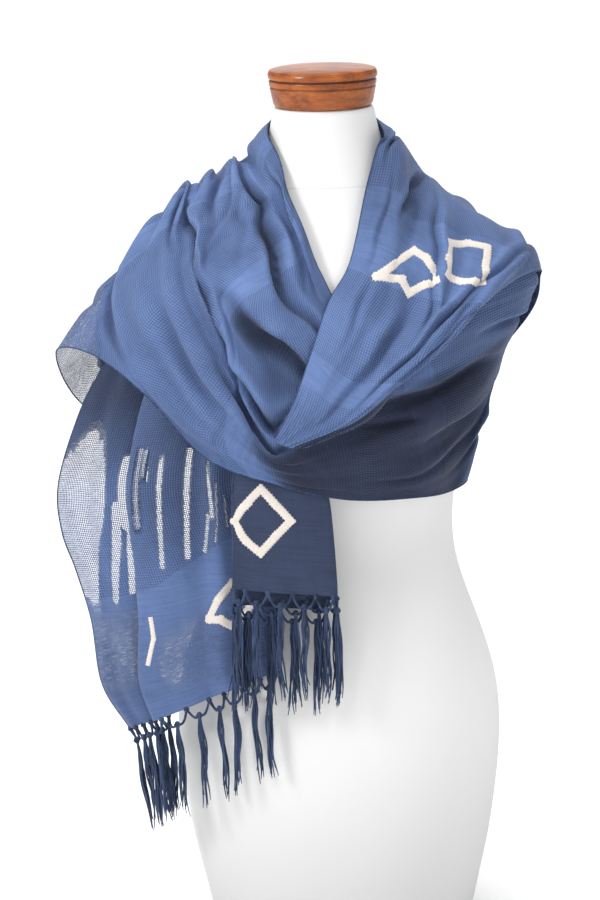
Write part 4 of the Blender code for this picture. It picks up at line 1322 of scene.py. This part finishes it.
@material("rebozo_weave")
def cloth_finish(made, looks):
    """Hand-woven cotton grid, with smooth dense bands, slubs, see-through places, and painted
    shade and painted light.
    """
    place = made.weave_place()
    along, across, _ = made.parts(place)
    drift = made.noise(place, *DRIFT) - 0.5
    slub = made.noise(place, *SLUB)
    cross_slub = made.noise(place, *CROSS_SLUB)
    cloud = made.noise(place, *CLOUD)
    rib = ((across + drift * RIB_DRIFT) * (2 * math.pi / RIB_PITCH)).sin() * 0.5 + 0.5
    yarn = ((along + drift * RIB_DRIFT) * (2 * math.pi / YARN_PITCH)).sin() * 0.5 + 0.5
    dense = 1 - made.attribute("band").step(-BAND_EDGE, BAND_EDGE)
    loose = 1 - dense
    grid = rib * RIB_TONE + yarn * YARN_PART - 0.5
    grid = grid * (cloud * GRID_CLOUD[1] + GRID_CLOUD[0])
    # The deep attribute holds painted shade where it is above 0 and painted light where it is
    # below 0
    deep = made.attribute("deep")
    painted_light = (0.0 - deep).clamped()
    light = grid * (loose * GRID_TONE[1] + GRID_TONE[0])
    light = light + (slub - 0.5) * SLUB_TONE + (cloud - 0.5) * CLOUD_TONE
    light = light + (cross_slub - 0.5) * (dense * CROSS_TONE[1] + CROSS_TONE[0])
    light = (light + dense * DENSE_TONE + painted_light * PAINTED_LIGHT_TONE + MIDDLE_TONE).clamped()
    colour = made.mix(light, shade(looks.cloth_dark), shade(looks.cloth_light))
    # Painted shade multiplies the cloth's colour
    colour = made.mix(deep, colour, tuple(looks.cloth_painted_shade), "MULTIPLY")
    sheer = made.attribute("sheer")
    ragged = made.noise(place, *RAGGED) - 0.5
    left_in = made.noise(place, *LEFT_IN) - 0.5
    bare = (sheer + ragged * 0.6 + left_in * 0.5).step(*BARE)
    cells = [((way + drift * NET_DRIFT) / SHEER_PITCH).fract() - 0.5 for way in (across, along)]
    net = cells[0].abs().step(*NET_YARN).most(cells[1].abs().step(*NET_YARN))
    net = net * (1 - sheer.step(*NO_NET))
    specks = made.noise(place, *SPECK) * 0.75 + cloud * 0.25
    thin = specks.step(*THIN_SPECKS) * sheer.step(*THIN_FROM)
    alpha = 1 - (bare * (1 - net) * BARE_LOOK).most(thin * THIN_LOOK)
    height = rib * loose * 0.6 + yarn * loose * 0.5 + slub * 0.5 + cross_slub * 0.4
    return made.finish(Base_Color=colour, Roughness=0.82, Alpha=alpha,
                       Normal=made.bump(height, 0.0006, 0.8), Sheen_Weight=0.2,
                       Sheen_Roughness=0.45, Sheen_Tint=SHEEN_TINT, Specular_IOR_Level=0.25)


@material("fringe_yarn_twist")
def yarn_finish(made, looks):
    """Twisted cotton yarn of the fringe and the firm edges."""
    place = made.object_place()
    fibre = made.noise(place, *FIBRE)
    light = (fibre * 0.7 + made.noise(place, *YARN_TONE) * 1.6 - 0.72).clamped()
    colour = made.mix(light, shade(looks.cloth_dark, YARN_SHADES[0]),
                      shade(looks.cloth_light, YARN_SHADES[1]))
    return made.finish(Base_Color=colour, Roughness=0.85, Sheen_Weight=0.15,
                       Sheen_Roughness=0.4, Sheen_Tint=SHEEN_TINT,
                       Normal=made.bump(fibre, 0.0004, 0.8), Specular_IOR_Level=0.2)


@material("cream_zigzag_yarn")
def diamond_finish(made, looks):
    """Cream yarn stitched over the cloth in a close zigzag."""
    place = made.weave_place()
    strand = (made.parts(place)[0] * (2 * math.pi / STITCH_PITCH)).sin() * 0.5 + 0.5
    light = (strand * 0.5 + made.noise(place, *STITCH_WEAR) * 0.7).clamped()
    colour = made.mix(light, shade(looks.diamond_cream, 0.62), shade(looks.diamond_cream))
    return made.finish(Base_Color=colour, Roughness=0.78, Sheen_Weight=0.2,
                       Sheen_Roughness=0.5, Normal=made.bump(light, 0.0005, 0.8),
                       Specular_IOR_Level=0.25)


@material("form_white_skin")
def form_finish(made, looks):
    """Matt white skin of the dress form, with a faint seam round the neck and painted shade that
    darkens it towards its foot.
    """
    place = made.object_place()
    height = made.parts(place)[2]
    weave = made.noise(place, *SKIN_WEAVE)
    cloud = made.noise(place, *SKIN_CLOUD)
    seam = 1 - (height - NECK_SEAM).abs().step(*SEAM_EDGE)
    colour = made.mix((cloud * 0.5 + weave * 0.35).clamped(), shade(looks.form_white, 0.955),
                      shade(looks.form_white))
    colour = made.mix(seam * 0.3, colour, shade(looks.form_white, 0.6))
    # Painted shade, darker towards the foot
    foot_shade = 1 - height.step(*FOOT_SHADE_HEIGHTS)
    colour = made.mix(foot_shade * FOOT_SHADE_SHARE, colour, (0.0, 0.0, 0.0, 1.0))
    return made.finish(Base_Color=colour, Roughness=0.6 + weave * 0.12,
                       Normal=made.bump(weave * 0.4 - seam, 0.0003, 0.5),
                       Specular_IOR_Level=0.35)


@material("cap_polished_wood")
def wood_finish(made, looks):
    """Polished reddish-brown wood with fine turned grain."""
    place = made.object_place()
    height = made.parts(place)[2]
    bent = made.noise(place, *WOOD_BEND)
    grain = made.noise(place, *WOOD_GRAIN)
    pores = made.noise(place, *WOOD_PORES)
    light = ((bent - 0.5) * 2.2 + (grain - 0.5) * 1.5 + 0.5).clamped()
    colour = made.mix(light, shade(looks.wood_dark), shade(looks.wood_light))
    colour = made.mix(pores.step(*PORES) * 0.35, colour, shade(looks.wood_dark, 0.5))
    for level, strength in CAP_GROOVES:
        groove = 1 - (height - level).abs().step(*GROOVE_EDGE)
        colour = made.mix(groove * strength, colour, shade(looks.wood_dark, 0.3))
    return made.finish(Base_Color=colour, Roughness=0.45 + grain * 0.12, Coat_Weight=0.30,
                       Coat_Roughness=0.12, Normal=made.bump(grain - pores * 0.3, 0.0002, 0.4),
                       Specular_IOR_Level=0.3)


@material("studio_floor")
def floor_finish(made, looks):
    """Plain pale studio floor."""
    cloud = made.noise(made.object_place(), *FLOOR_CLOUD)
    colour = made.mix(cloud, *[(tone, tone, tone, 1.0) for tone in FLOOR_COLOURS])
    return made.finish(Base_Color=colour, Roughness=0.7, Specular_IOR_Level=0.2)


# Pieces turned from rings

def choose_level(mesh, level, side=0):
    """Select the points at a level: all of them, or the front (-1) or back (1) ones."""
    for part in (mesh.verts, mesh.edges, mesh.faces):
        for element in part:
            element.select = False
    for vertex in mesh.verts:
        at_level = abs(vertex.co.z - level) < LEVEL_SLACK
        vertex.select = at_level and (side == 0 or vertex.co.y * side > LEVEL_SLACK)
    mesh.select_flush(True)


def turned_body(name, sections, sides, finish):
    """Closed body extruded ring by ring, with its own front and back depth at each level."""
    start_clean()
    height, width = sections[0][0] * MM, sections[0][1] * MM
    bpy.ops.mesh.primitive_circle_add(vertices=sides, radius=width, location=(0, 0, height))
    made = bpy.context.object
    made.name = made.data.name = name
    bpy.ops.object.transform_apply(location=True, rotation=True, scale=True)
    bpy.ops.object.mode_set(mode="EDIT")
    sculpt = bmesh.from_edit_mesh(made.data)
    foot = height
    last = (height, width, width, width)
    for row in sections:
        height, width, front, back = [value * MM for value in row]
        if height > last[0]:
            bpy.ops.mesh.extrude_region_move(
                TRANSFORM_OT_translate={"value": (0, 0, height - last[0])})
            sculpt = bmesh.from_edit_mesh(made.data)
        centre = (0, 0, height)
        bpy.ops.transform.resize(value=(width / last[1], 1, 1), center_override=centre)
        for side, depth, before in ((-1, front, last[2]), (1, back, last[3])):
            choose_level(sculpt, height, side)
            bpy.ops.transform.resize(value=(1, depth / before, 1), center_override=centre)
        choose_level(sculpt, height)
        last = (height, width, front, back)
    for level in (height, foot):
        choose_level(sculpt, level)
        bpy.ops.mesh.edge_face_add()
        for thickness in LID_INSETS:
            bpy.ops.mesh.inset(thickness=thickness, depth=0.0)
        sculpt = bmesh.from_edit_mesh(made.data)
    bpy.ops.mesh.select_all(action="SELECT")
    bpy.ops.mesh.normals_make_consistent(inside=False)
    bpy.ops.object.mode_set(mode="OBJECT")
    made.data.materials.append(finish)
    return made


def apply_modifier(made, kind, **settings):
    """Add a modifier with its settings and apply it."""
    hold(made)
    modifier = made.modifiers.new(kind.lower(), kind)
    for setting, value in settings.items():
        setattr(modifier, setting, value)
    bpy.ops.object.modifier_apply(modifier=modifier.name)


def smooth_shaded(made, angle):
    """Shade a piece smooth up to an angle."""
    hold(made)
    bpy.ops.object.shade_smooth_by_angle(angle=math.radians(angle))


def settle(made, node):
    """Let a piece ride on the part and stand for its solid."""
    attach(made, BODY)
    if node:
        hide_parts(node)


# Operators

class RebozoLooks(bpy.types.PropertyGroup):
    """Sizes and colours of the cloth, the form and the cap"""
    cloth_dark: bpy.props.FloatVectorProperty(
        name="Cloth, deep", description="Colour of the cloth between its ribs",
        subtype="COLOR", size=4, min=0, max=1, default=(0.032, 0.055, 0.135, 1.0))
    cloth_light: bpy.props.FloatVectorProperty(
        name="Cloth, raised", description="Colour of the ribs and dense bands",
        subtype="COLOR", size=4, min=0, max=1, default=(0.192, 0.298, 0.590, 1.0))
    # Painted shade: the colour that the cloth's colour is multiplied by in shaded places and
    # fold valleys
    cloth_painted_shade: bpy.props.FloatVectorProperty(
        name="Cloth, shaded", description="What the cloth's colour is multiplied by where deep",
        subtype="COLOR", size=4, min=0, max=1, default=(0.24, 0.20, 0.19, 1.0))
    diamond_cream: bpy.props.FloatVectorProperty(
        name="Diamonds", description="Colour of the stitched diamonds",
        subtype="COLOR", size=4, min=0, max=1, default=(0.86, 0.79, 0.72, 1.0))
    form_white: bpy.props.FloatVectorProperty(
        name="Form", description="Colour of the dress form",
        subtype="COLOR", size=4, min=0, max=1, default=(0.78, 0.78, 0.78, 1.0))
    wood_dark: bpy.props.FloatVectorProperty(
        name="Wood, dark", description="Dark grain of the neck cap",
        subtype="COLOR", size=4, min=0, max=1, default=(0.12, 0.021, 0.003, 1.0))
    wood_light: bpy.props.FloatVectorProperty(
        name="Wood, light", description="Light grain of the neck cap",
        subtype="COLOR", size=4, min=0, max=1, default=(0.43, 0.112, 0.012, 1.0))
    diamond_width: bpy.props.FloatProperty(
        name="Diamond band", description="Width of a stitched band of the diamonds",
        unit="LENGTH", subtype="DISTANCE", min=0.002, max=0.02, default=0.0092)
    yarn_size: bpy.props.FloatProperty(
        name="Fringe yarn", description="Thickness of a yarn of the fringe",
        unit="LENGTH", subtype="DISTANCE", min=0.0005, max=0.004, default=0.0020)


class REBOZO_OT_form(bpy.types.Operator):
    """Build the dress form"""
    bl_idname = "rebozo.form"
    bl_label = "Dress form"

    def execute(self, context):
        levels = np.linspace(0, len(FORM_SECTIONS) - 1, FORM_RINGS)
        sections = smooth_rows(FORM_SECTIONS, levels)
        sections[:, 1:] *= RING_SWELL
        made = turned_body("dress_form", sections, FORM_SIDES, form_finish())
        apply_modifier(made, "SUBSURF", levels=2, render_levels=2)
        smooth_shaded(made, 50)
        settle(made, "form_body")
        return {"FINISHED"}


class REBOZO_OT_cap(bpy.types.Operator):
    """Build the turned wooden neck cap"""
    bl_idname = "rebozo.cap"
    bl_label = "Neck cap"

    def execute(self, context):
        sections = [(height, radius, radius, radius) for radius, height in CAP_PROFILE]
        made = turned_body("wooden_neck_cap", sections, CAP_SIDES, wood_finish())
        apply_modifier(made, "BEVEL", width=CAP_BEVEL, segments=3, limit_method="ANGLE",
                       angle_limit=math.radians(28))
        smooth_shaded(made, 45)
        settle(made, "neck_cap")
        return {"FINISHED"}


def rows_of(table, name):
    """The rows of a table that are about one stretch, without its name."""
    return [row[1:] for row in table if row[0] == name]


def paint(made, name, field):
    """Write a field of a stretch at each point of its shell, on both of its faces."""
    layer = made.data.attributes.new(name, "FLOAT", "POINT")
    layer.data.foreach_set("value", np.tile(field.ravel(), 2).astype(np.float32))


def averaged(field):
    """A field with each value averaged with those beside it."""
    wider = np.pad(field, 1, mode="edge")
    beside = wider[:-2, 1:-1] + wider[2:, 1:-1] + wider[1:-1, :-2] + wider[1:-1, 2:]
    return (field + beside) / 5


def inside(outline, stations, threads, passes):
    """1 inside an outline and 0 outside it, with its edge softened in some passes."""
    along = stations[:, None] + np.zeros_like(threads)[None, :]
    across = np.zeros_like(stations)[:, None] + threads[None, :]
    crossings = np.zeros(along.shape, dtype=int)
    for (s0, t0), (s1, t1) in zip(outline, outline[1:] + outline[:1]):
        spans = (t0 <= across) != (t1 <= across)
        meets = s0 + (across - t0) * (s1 - s0) / (t1 - t0 if t1 != t0 else 1e-9)
        crossings += spans & (along < meets)
    patch = (crossings % 2).astype(float)
    for _ in range(passes):
        patch = averaged(patch)
    return patch


def sheer_of(name, stretch):
    """How see-through a stretch is over its stations and threads."""
    field = np.zeros(stretch.grid.shape[:2])
    for strength, outline in rows_of(SHEER_PATCHES, name):
        passes = SOFT_PASSES if strength < FAINT else CRISP_PASSES
        patch = inside(outline, stretch.stations, stretch.threads, passes)
        field = np.maximum(field, strength * patch)
    for half, strength, line in rows_of(SHEER_STREAKS, name):
        places, on_threads = zip(*line)
        centre = np.interp(stretch.stations, places, on_threads)
        reach = np.abs(stretch.threads[None, :] - centre[:, None]) / half
        ends = (stretch.stations >= places[0]) & (stretch.stations <= places[-1])
        streak = np.clip(1.5 - reach, 0, 1) * ends[:, None]
        field = np.maximum(field, strength * streak)
    return field


def bands_of(name, stretch):
    """Distance outside the nearest dense band, in metres, below 0 inside it."""
    stations, run = stretch.stations, stretch.run
    pace = abs((run[-1] - run[0]) / (stations[-1] - stations[0]))
    field = np.full(stretch.grid.shape[:2], 1.0)
    for half, line in rows_of(DENSE_BANDS, name):
        places, on_threads = zip(*line)
        centre = np.interp(stretch.threads, on_threads, places)
        gap = np.abs(stations[:, None] - centre[None, :]) * pace - half
        field = np.minimum(field, gap)
    return field


def eased(places, start, end):
    """0 outside a start and an end, 1 well inside them, soft between."""
    share = np.minimum(places - start, end - places) / (PLACE_EASE * (end - start))
    share = np.clip(share, 0, 1)
    return share ** 2 * (3 - 2 * share)


def painted_shade_and_light_of(name, stretch):
    """How dark the painted shade of the cloth is over its stations and threads, below 0 where
    painted light lightens it.
    """
    field = np.zeros(stretch.grid.shape[:2])
    painted_light_places = np.zeros(stretch.grid.shape[:2])
    for strength, s0, s1, t0, t1 in rows_of(PAINTED_SHADE_AND_LIGHT_PLACES, name):
        patch = eased(stretch.stations, s0, s1)[:, None] * eased(stretch.threads, t0, t1)
        field = np.maximum(field, strength * patch)
        painted_light_places = np.maximum(painted_light_places, -strength * patch)
    for strength, sets_in, outline in rows_of(PAINTED_SHADE_OUTLINES, name):
        patch = inside(outline, stretch.stations, stretch.threads, SOFT_PASSES)
        patch *= np.interp(stretch.stations, sets_in, (0, 1))[:, None]
        field = np.maximum(field, strength * patch)
    # Painted shade in the valleys of the folds and a painted highlight on their lips
    hollow = np.clip(-stretch.relief / FULL_SHADE_VALLEY, 0, 1)
    painted_light = LIP_PAINTED_HIGHLIGHT * np.clip(stretch.relief / FULL_HIGHLIGHT_LIP, 0, 1)
    painted_light = np.maximum(painted_light, painted_light_places * (1 - hollow))
    return 1 - (1 - field) * (1 - VALLEY_PAINTED_SHADE * hollow ** VALLEY_SHADE_EASE + painted_light)


def build_stretch(name, flat, held):
    """One stretch of the cloth with its firm edges, settled on the part."""
    stretch = dressed_cloth()[name]
    node = "shawl_" + name
    made = cloth_shell(node + "_cloth", stretch, cloth_finish())
    # The deep layer carries the painted shade and painted light of the stretch
    for layer, field_of in (("sheer", sheer_of), ("band", bands_of), ("deep", painted_shade_and_light_of)):
        paint(made, layer, field_of(name, stretch))
    edges = selvedges(node + "_edges", stretch, yarn_finish())
    settle(made, node)
    settle(edges, None)


class REBOZO_OT_wrap(bpy.types.Operator):
    """Build the wound stretches of the cloth"""
    bl_idname = "rebozo.wrap"
    bl_label = "Wound cloth"

    def execute(self, context):
        for cut in WOUND_CUTS:
            build_stretch(*cut)
        return {"FINISHED"}


class REBOZO_OT_ends(bpy.types.Operator):
    """Build the two hanging ends of the cloth"""
    bl_idname = "rebozo.ends"
    bl_label = "Hanging ends"

    def execute(self, context):
        for cut in END_CUTS:
            build_stretch(*cut)
        return {"FINISHED"}


def knot(place, way, size, points, faces):
    """A small round knot of yarn, longer along its way, with one turn of yarn round it."""
    tube([place + way * size * along for along, _ in KNOT_SHAPE],
         [size * radius for _, radius in KNOT_SHAPE], KNOT_SIDES, points, faces)
    side = unit(np.cross(way, KNOT_SLANT))
    front = np.cross(side, way)
    wrap = []
    for turn in np.linspace(0, 2 * math.pi, KNOT_TURN_STEPS + 1):
        wrap.append(place + (side * math.cos(turn) + front * math.sin(turn)) * size
                    + way * size * KNOT_TILT * math.sin(turn))
    tube(wrap, [size * KNOT_YARN] * len(wrap), YARN_SIDES, points, faces)


def tassel(place, way, out, length, rng, points, faces):
    """The yarns that hang from a knot: wavy, close together, with loose tips."""
    thick = bpy.context.scene.rebozo.yarn_size / MM / 2
    side = unit(np.cross(way, out))
    lean = rng.uniform(*TASSEL_LEAN)
    turn = rng.uniform(0, 2 * math.pi)
    shares = np.linspace(0, 1, YARN_STEPS)
    for number in range(TASSEL_YARNS):
        layer = TASSEL_LAYER * (1 if number % 2 == 0 else -1)
        across = (number - (TASSEL_YARNS - 1) / 2) / (TASSEL_YARNS / 2)
        wave = rng.uniform(*YARN_WAVE)
        phase = rng.uniform(0, 2 * math.pi)
        end = length * rng.uniform(*YARN_LENGTHS)
        loose = rng.uniform(-YARN_LOOSE, YARN_LOOSE)
        path = []
        for share in shares:
            opening = min(1.0, share * YARN_OPENS)
            width = TASSEL_HALF * (TASSEL_NECK + (1 - TASSEL_NECK) * opening)
            sway = wave * math.sin(YARN_PACE[0] * share + phase) * min(1.0, share * 4)
            sway += lean * math.sin(TASSEL_PACE * share + turn) * share + loose * share ** 6
            behind = layer * opening + 0.5 * wave * math.cos(YARN_PACE[1] * share + phase)
            path.append(place + way * end * share + side * (across * width + sway)
                        + out * behind)
        radii = [thick * (0.75 + 0.25 * min(1, share * 6)) * (1 - 0.6 * share ** 5)
                 for share in shares]
        tube(path, radii, YARN_SIDES, points, faces)


def hanging(way, share, straight):
    """A way that follows another by a share and hangs straight by the rest."""
    return unit(way * share + np.array((0.0, 0.0, -straight)))


def leg(top, end, down, out, shift, points, faces):
    """A yarn that sags from a knot on the edge to the knot of a tassel."""
    path = []
    for share in np.linspace(0, 1, LEG_STEPS):
        sag = down * LEG_SAG * math.sin(math.pi * share)
        path.append(top * (1 - share) + end * share + sag + out * shift * math.cos(5 * share))
    tube(path, [LEG_RADIUS] * LEG_STEPS, LEG_SIDES, points, faces)


def hang_fringe(name, stretch, cells, seed):
    """Knotted fringe along the bottom edge of an end."""
    rng = np.random.default_rng(seed)
    edge = stretch.grid[-1]
    outward = stretch.normal[-1]
    down = unit(edge - stretch.grid[-3])
    step = cells * END_COLUMNS
    count = (len(edge) - 1) // step
    points, faces, knots = [], [], []
    for at in range(step // 2, count * step, step):
        way = hanging(down[at], *KNOT_HANG)
        drop = KNOT_DROP + rng.uniform(-DROP_UNEVEN, DROP_UNEVEN)
        knots.append((edge[at] + way * drop, way, outward[at]))
    for k in range(count + 1):
        at = min(max(k * step, 1), len(edge) - 2)
        top = edge[at] + down[at] * EDGE_KNOT_DROP
        knot(top, down[at], EDGE_KNOT, points, faces)
        for end, _, out in knots[max(k - 1, 0):k + 1]:
            for shift in (-LEG_APART, LEG_APART):
                leg(top, end, down[at], out, shift, points, faces)
    for place, way, out in knots:
        knot(place, way, TASSEL_KNOT, points, faces)
        tassel(place + way * TASSEL_START, hanging(way, *TASSEL_HANG), out,
               TASSEL_LENGTH - KNOT_DROP, rng, points, faces)
    return add_yarns(name, points, faces, yarn_finish(), 80)


class REBOZO_OT_fringe(bpy.types.Operator):
    """Knot the fringe along both ends"""
    bl_idname = "rebozo.fringe"
    bl_label = "Knotted fringe"

    def execute(self, context):
        cloth = dressed_cloth()
        for end, cells, seed in (("wide", WIDE_CELLS, 5), ("narrow", NARROW_CELLS, 6)):
            made = hang_fringe("knotted_fringe_" + end, cloth["end_" + end], cells, seed)
            settle(made, "fringe_" + end)
        return {"FINISHED"}


def stitched_band(stretch, width, corners, points, faces, places):
    """One raised zigzag band through corners that lie on the cloth."""
    for (s0, t0), (s1, t1) in zip(corners, corners[1:]):
        length = np.linalg.norm(stretch.point(s1, t1)[0] - stretch.point(s0, t0)[0])
        past = CORNER_REACH * width / length
        count = max(4, int(round(length * (1 + 2 * past) / DIAMOND_PITCH)) * 4)
        line = [stretch.point(s0 + (s1 - s0) * share, t0 + (t1 - t0) * share, SHELL / 2)
                for share in np.linspace(-past, 1 + past, count + 1)]
        ahead = unit(np.gradient([place for place, _ in line], axis=0))
        start = len(points)
        for k, (place, normal) in enumerate(line):
            side = unit(np.cross(normal, ahead[k]))
            tooth = STITCH[k % len(STITCH)]
            lean = (tooth - 0.5) * STITCH_LEAN * width
            half = width / 2 * (STITCH_WIDTHS[0] + STITCH_WIDTHS[1] * abs(tooth * 2 - 1))
            high = DIAMOND_RISE * (STITCH_HEIGHTS[0] + STITCH_HEIGHTS[1] * tooth)
            for across, rise in BAND_SECTION:
                points.append(place + side * (across * half + lean) + normal * (rise * high))
                places.append((k * DIAMOND_PITCH / len(STITCH) * MM, across * half * MM))
        close_rings(start, count + 1, len(BAND_SECTION), faces)


class REBOZO_OT_diamonds(bpy.types.Operator):
    """Stitch the cream diamonds on the cloth"""
    bl_idname = "rebozo.diamonds"
    bl_label = "Stitched diamonds"

    def execute(self, context):
        cloth = dressed_cloth()
        width = context.scene.rebozo.diamond_width / MM
        for name in cloth:
            points, faces, places = [], [], []
            for share, corners in rows_of(DIAMONDS, name):
                stitched_band(cloth[name], width * share, corners, points, faces, places)
            if points:
                made = add_yarns("diamonds_" + name, points, faces, diamond_finish(), 70)
                lay_weave(made.data, places)
                settle(made, None)
        return {"FINISHED"}


def area_light(name, energy, size, place, aim):
    """Soft square light that looks at a point."""
    start_clean()
    bpy.ops.object.light_add(type="AREA", location=place)
    made = bpy.context.object
    made.name = name
    made.data.energy = energy
    made.data.size = size
    towards = Vector(aim) - Vector(place)
    made.rotation_euler = towards.to_track_quat("-Z", "Y").to_euler()
    return made


class REBOZO_OT_stage(bpy.types.Operator):
    """Set the floor, the lights and the camera"""
    bl_idname = "rebozo.stage"
    bl_label = "Stage"

    def execute(self, context):
        start_clean()
        bpy.ops.mesh.primitive_plane_add(size=FLOOR_SIZE, location=(0, 0, 0))
        floor = context.object
        floor.name = floor.data.name = "studio_floor"
        bpy.ops.object.transform_apply(location=True, rotation=True, scale=True)
        floor.data.materials.append(floor_finish())
        for name, energy, size, place, aim in LIGHTS:
            area_light(name, energy, size, place, aim)
        start_clean()
        bpy.ops.object.light_add(type="SUN", location=OVERHEAD_PLACE)
        sun = context.object
        sun.name = "overhead_light"
        sun.data.energy = OVERHEAD_LIGHT
        sun.data.angle = math.radians(OVERHEAD_ANGLE)
        world = bpy.data.worlds.new("studio_air")
        world.use_nodes = True
        back = world.node_tree.nodes["Background"]
        back.inputs["Color"].default_value = (1.0, 1.0, 1.0, 1.0)
        back.inputs["Strength"].default_value = WORLD_LIGHT
        context.scene.world = world
        context.scene.view_settings.view_transform = "Standard"

        bpy.ops.object.camera_add(location=CAMERA_PLACE)
        camera = context.object
        camera.name = "studio_camera"
        camera.data.lens = CAMERA_LENS
        camera.data.sensor_fit = "VERTICAL"
        camera.data.sensor_height = CAMERA_SENSOR
        camera.data.clip_end = CAMERA_REACH
        pitch = math.radians(CAMERA_PITCH)
        roll = math.radians(CAMERA_ROLL)
        ahead = Vector((0, math.cos(pitch), -math.sin(pitch)))
        level_up = Vector((0, math.sin(pitch), math.cos(pitch)))
        right = Vector((1, 0, 0)) * math.cos(roll) - level_up * math.sin(roll)
        above = Vector((1, 0, 0)) * math.sin(roll) + level_up * math.cos(roll)
        turn = Matrix((right, above, -ahead)).transposed().to_4x4()
        camera.matrix_world = Matrix.Translation(CAMERA_PLACE) @ turn
        context.scene.camera = camera
        return {"FINISHED"}


class REBOZO_PT_panel(bpy.types.Panel):
    """Lists the steps that build the rebozo"""
    bl_idname = "REBOZO_PT_panel"
    bl_label = "Rebozo on a dress form"
    bl_space_type = "VIEW_3D"
    bl_region_type = "UI"
    bl_category = "Rebozo"

    def draw(self, context):
        looks = context.scene.rebozo
        for name in RebozoLooks.__annotations__:
            self.layout.prop(looks, name)
        for operator in STEPS:
            self.layout.operator(operator.bl_idname)


STEPS = (REBOZO_OT_form, REBOZO_OT_cap, REBOZO_OT_wrap, REBOZO_OT_ends, REBOZO_OT_fringe,
         REBOZO_OT_diamonds, REBOZO_OT_stage)
CLASSES = (RebozoLooks,) + STEPS + (REBOZO_PT_panel,)


def register():
    for made in CLASSES:
        bpy.utils.register_class(made)
    bpy.types.Scene.rebozo = bpy.props.PointerProperty(type=RebozoLooks)


def unregister():
    del bpy.types.Scene.rebozo
    for made in reversed(CLASSES):
        bpy.utils.unregister_class(made)


def main():
    register()
    bpy.ops.rebozo.form()
    bpy.ops.rebozo.cap()
    bpy.ops.rebozo.wrap()
    bpy.ops.rebozo.ends()
    bpy.ops.rebozo.fringe()
    bpy.ops.rebozo.diamonds()
    bpy.ops.rebozo.stage()


if __name__ == "__main__":
    main()
